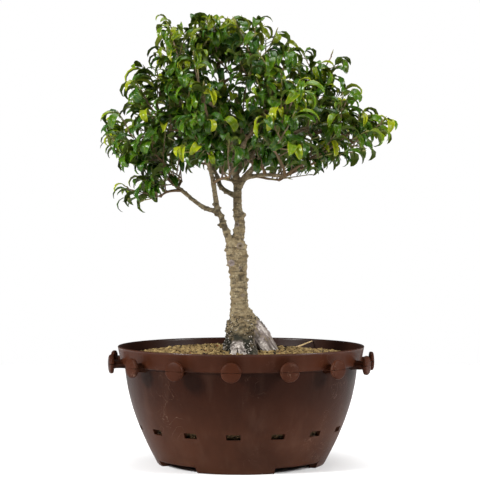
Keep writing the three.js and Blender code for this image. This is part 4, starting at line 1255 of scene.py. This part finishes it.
    # The crown opens over the low left tuft, and the twig at the upper right is nearly bare.
    gap_height = 327 - 0.36 * (leaf_base[:, 0] + 149)
    kept &= ~((leaf_base[:, 0] < -84) & (np.abs(middle_height - gap_height + 4) < 5))
    kept &= ~((leaf_base[:, 0] > 84) & (middle_height > 408) & (age_mix > 0.4))
    leaf_points, leaf_faces, chart = leaf_skin(rings_of_leaves[kept])
    each_leaf = rings_of_leaves.shape[1] * rings_of_leaves.shape[2]
    stem_points, stem_faces = join(stem_parts)
    shoot_points, shoot_faces = join([(leaf_points, [leaf_faces]), (stem_points, stem_faces)])
    stem_count = sum(len(group) for group in stem_faces)
    finish_of = np.concatenate([np.zeros(len(leaf_faces)), np.ones(stem_count)])
    piece = body(name, shoot_points * MM, shoot_faces, [leaf_finish, stem_finish], finish_of)
    loops = sum(group.size for group in shoot_faces)
    full_chart = np.full((loops, 2), 0.5)
    full_chart[: len(chart)] = chart
    chart_layer = piece.data.uv_layers.new(name="leaf_chart")
    chart_layer.data.foreach_set("uv", full_chart.astype(np.float32).ravel())
    twig_youth = np.tile(np.repeat(np.linspace(0.2, 1.0, TWIG_RADII.size), TWIG_SIDES), (TWIGS_PER_SHOOT, 1))
    twig_youth = np.concatenate([twig_youth, np.full((TWIGS_PER_SHOOT, 2), 0.6)], 1).ravel()
    stem_youths = np.full(len(stem_points), 0.3)
    stem_youths[: len(twig_youth)] = twig_youth
    mark(piece, "youth", np.concatenate([np.repeat(youth[kept], each_leaf), stem_youths]))
    # Painted shade: leaves above 375 mm turn dark blue-green; lower down some older leaves take it at random.
    dark_leaf_and_top_shade = chance.uniform(0, 1, len(which)) * (youth < 0.3)
    dark_leaf_and_top_shade = np.clip(dark_leaf_and_top_shade + 0.6 * np.clip((leaf_base[:, 2] - 375) / 60, 0, 1), 0, 1)
    mark(piece, "shade", np.concatenate([np.repeat(dark_leaf_and_top_shade[kept], each_leaf), 0 * stem_youths]))
    piece.data.set_sharp_from_angle(angle=math.radians(70))
    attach(piece, "root")
    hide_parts(name)


# ---- Fallen twig ----
# A dry twig that dropped on the soil at the back right and rises towards the rim, bare and bleached.

DRY_STEPS = 14
DRY_COLOURS = {"grey": (124, 100, 66), "bleached": (176, 152, 110)}
low, high = (np.array(corner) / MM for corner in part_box("fallen_twig"))
dry_places = [low + [1, 1, 1.4], (low + high) / 2 + [0.5, -0.5, 0.6], high - [1, 1, 0.8]]
dry_line = sweep_line(dry_places, DRY_STEPS)
dry_radii = np.linspace(1.15, 0.6, DRY_STEPS)
dry_parts = stems(dry_line[None], dry_radii[None], 8)
dry_finish, dry = material("dry_twig")
dry_spot = dry.node("ShaderNodeTexCoord", out=3)
dry_specks = cloud(dry, dry_spot, 900.0, 4.0)
dry_colour = dry_specks.between(0.35, 0.65).mix(*(paint(*colour) for colour in DRY_COLOURS.values()))
principled(dry, {"Base Color": dry_colour, "Roughness": 0.85, "Normal": rough(dry, 0.5, 0.0004, dry_specks)})
fallen = body("fallen_twig_dry", dry_parts[0] * MM, dry_parts[1], [dry_finish])
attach(fallen, "root")
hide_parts("fallen_twig")
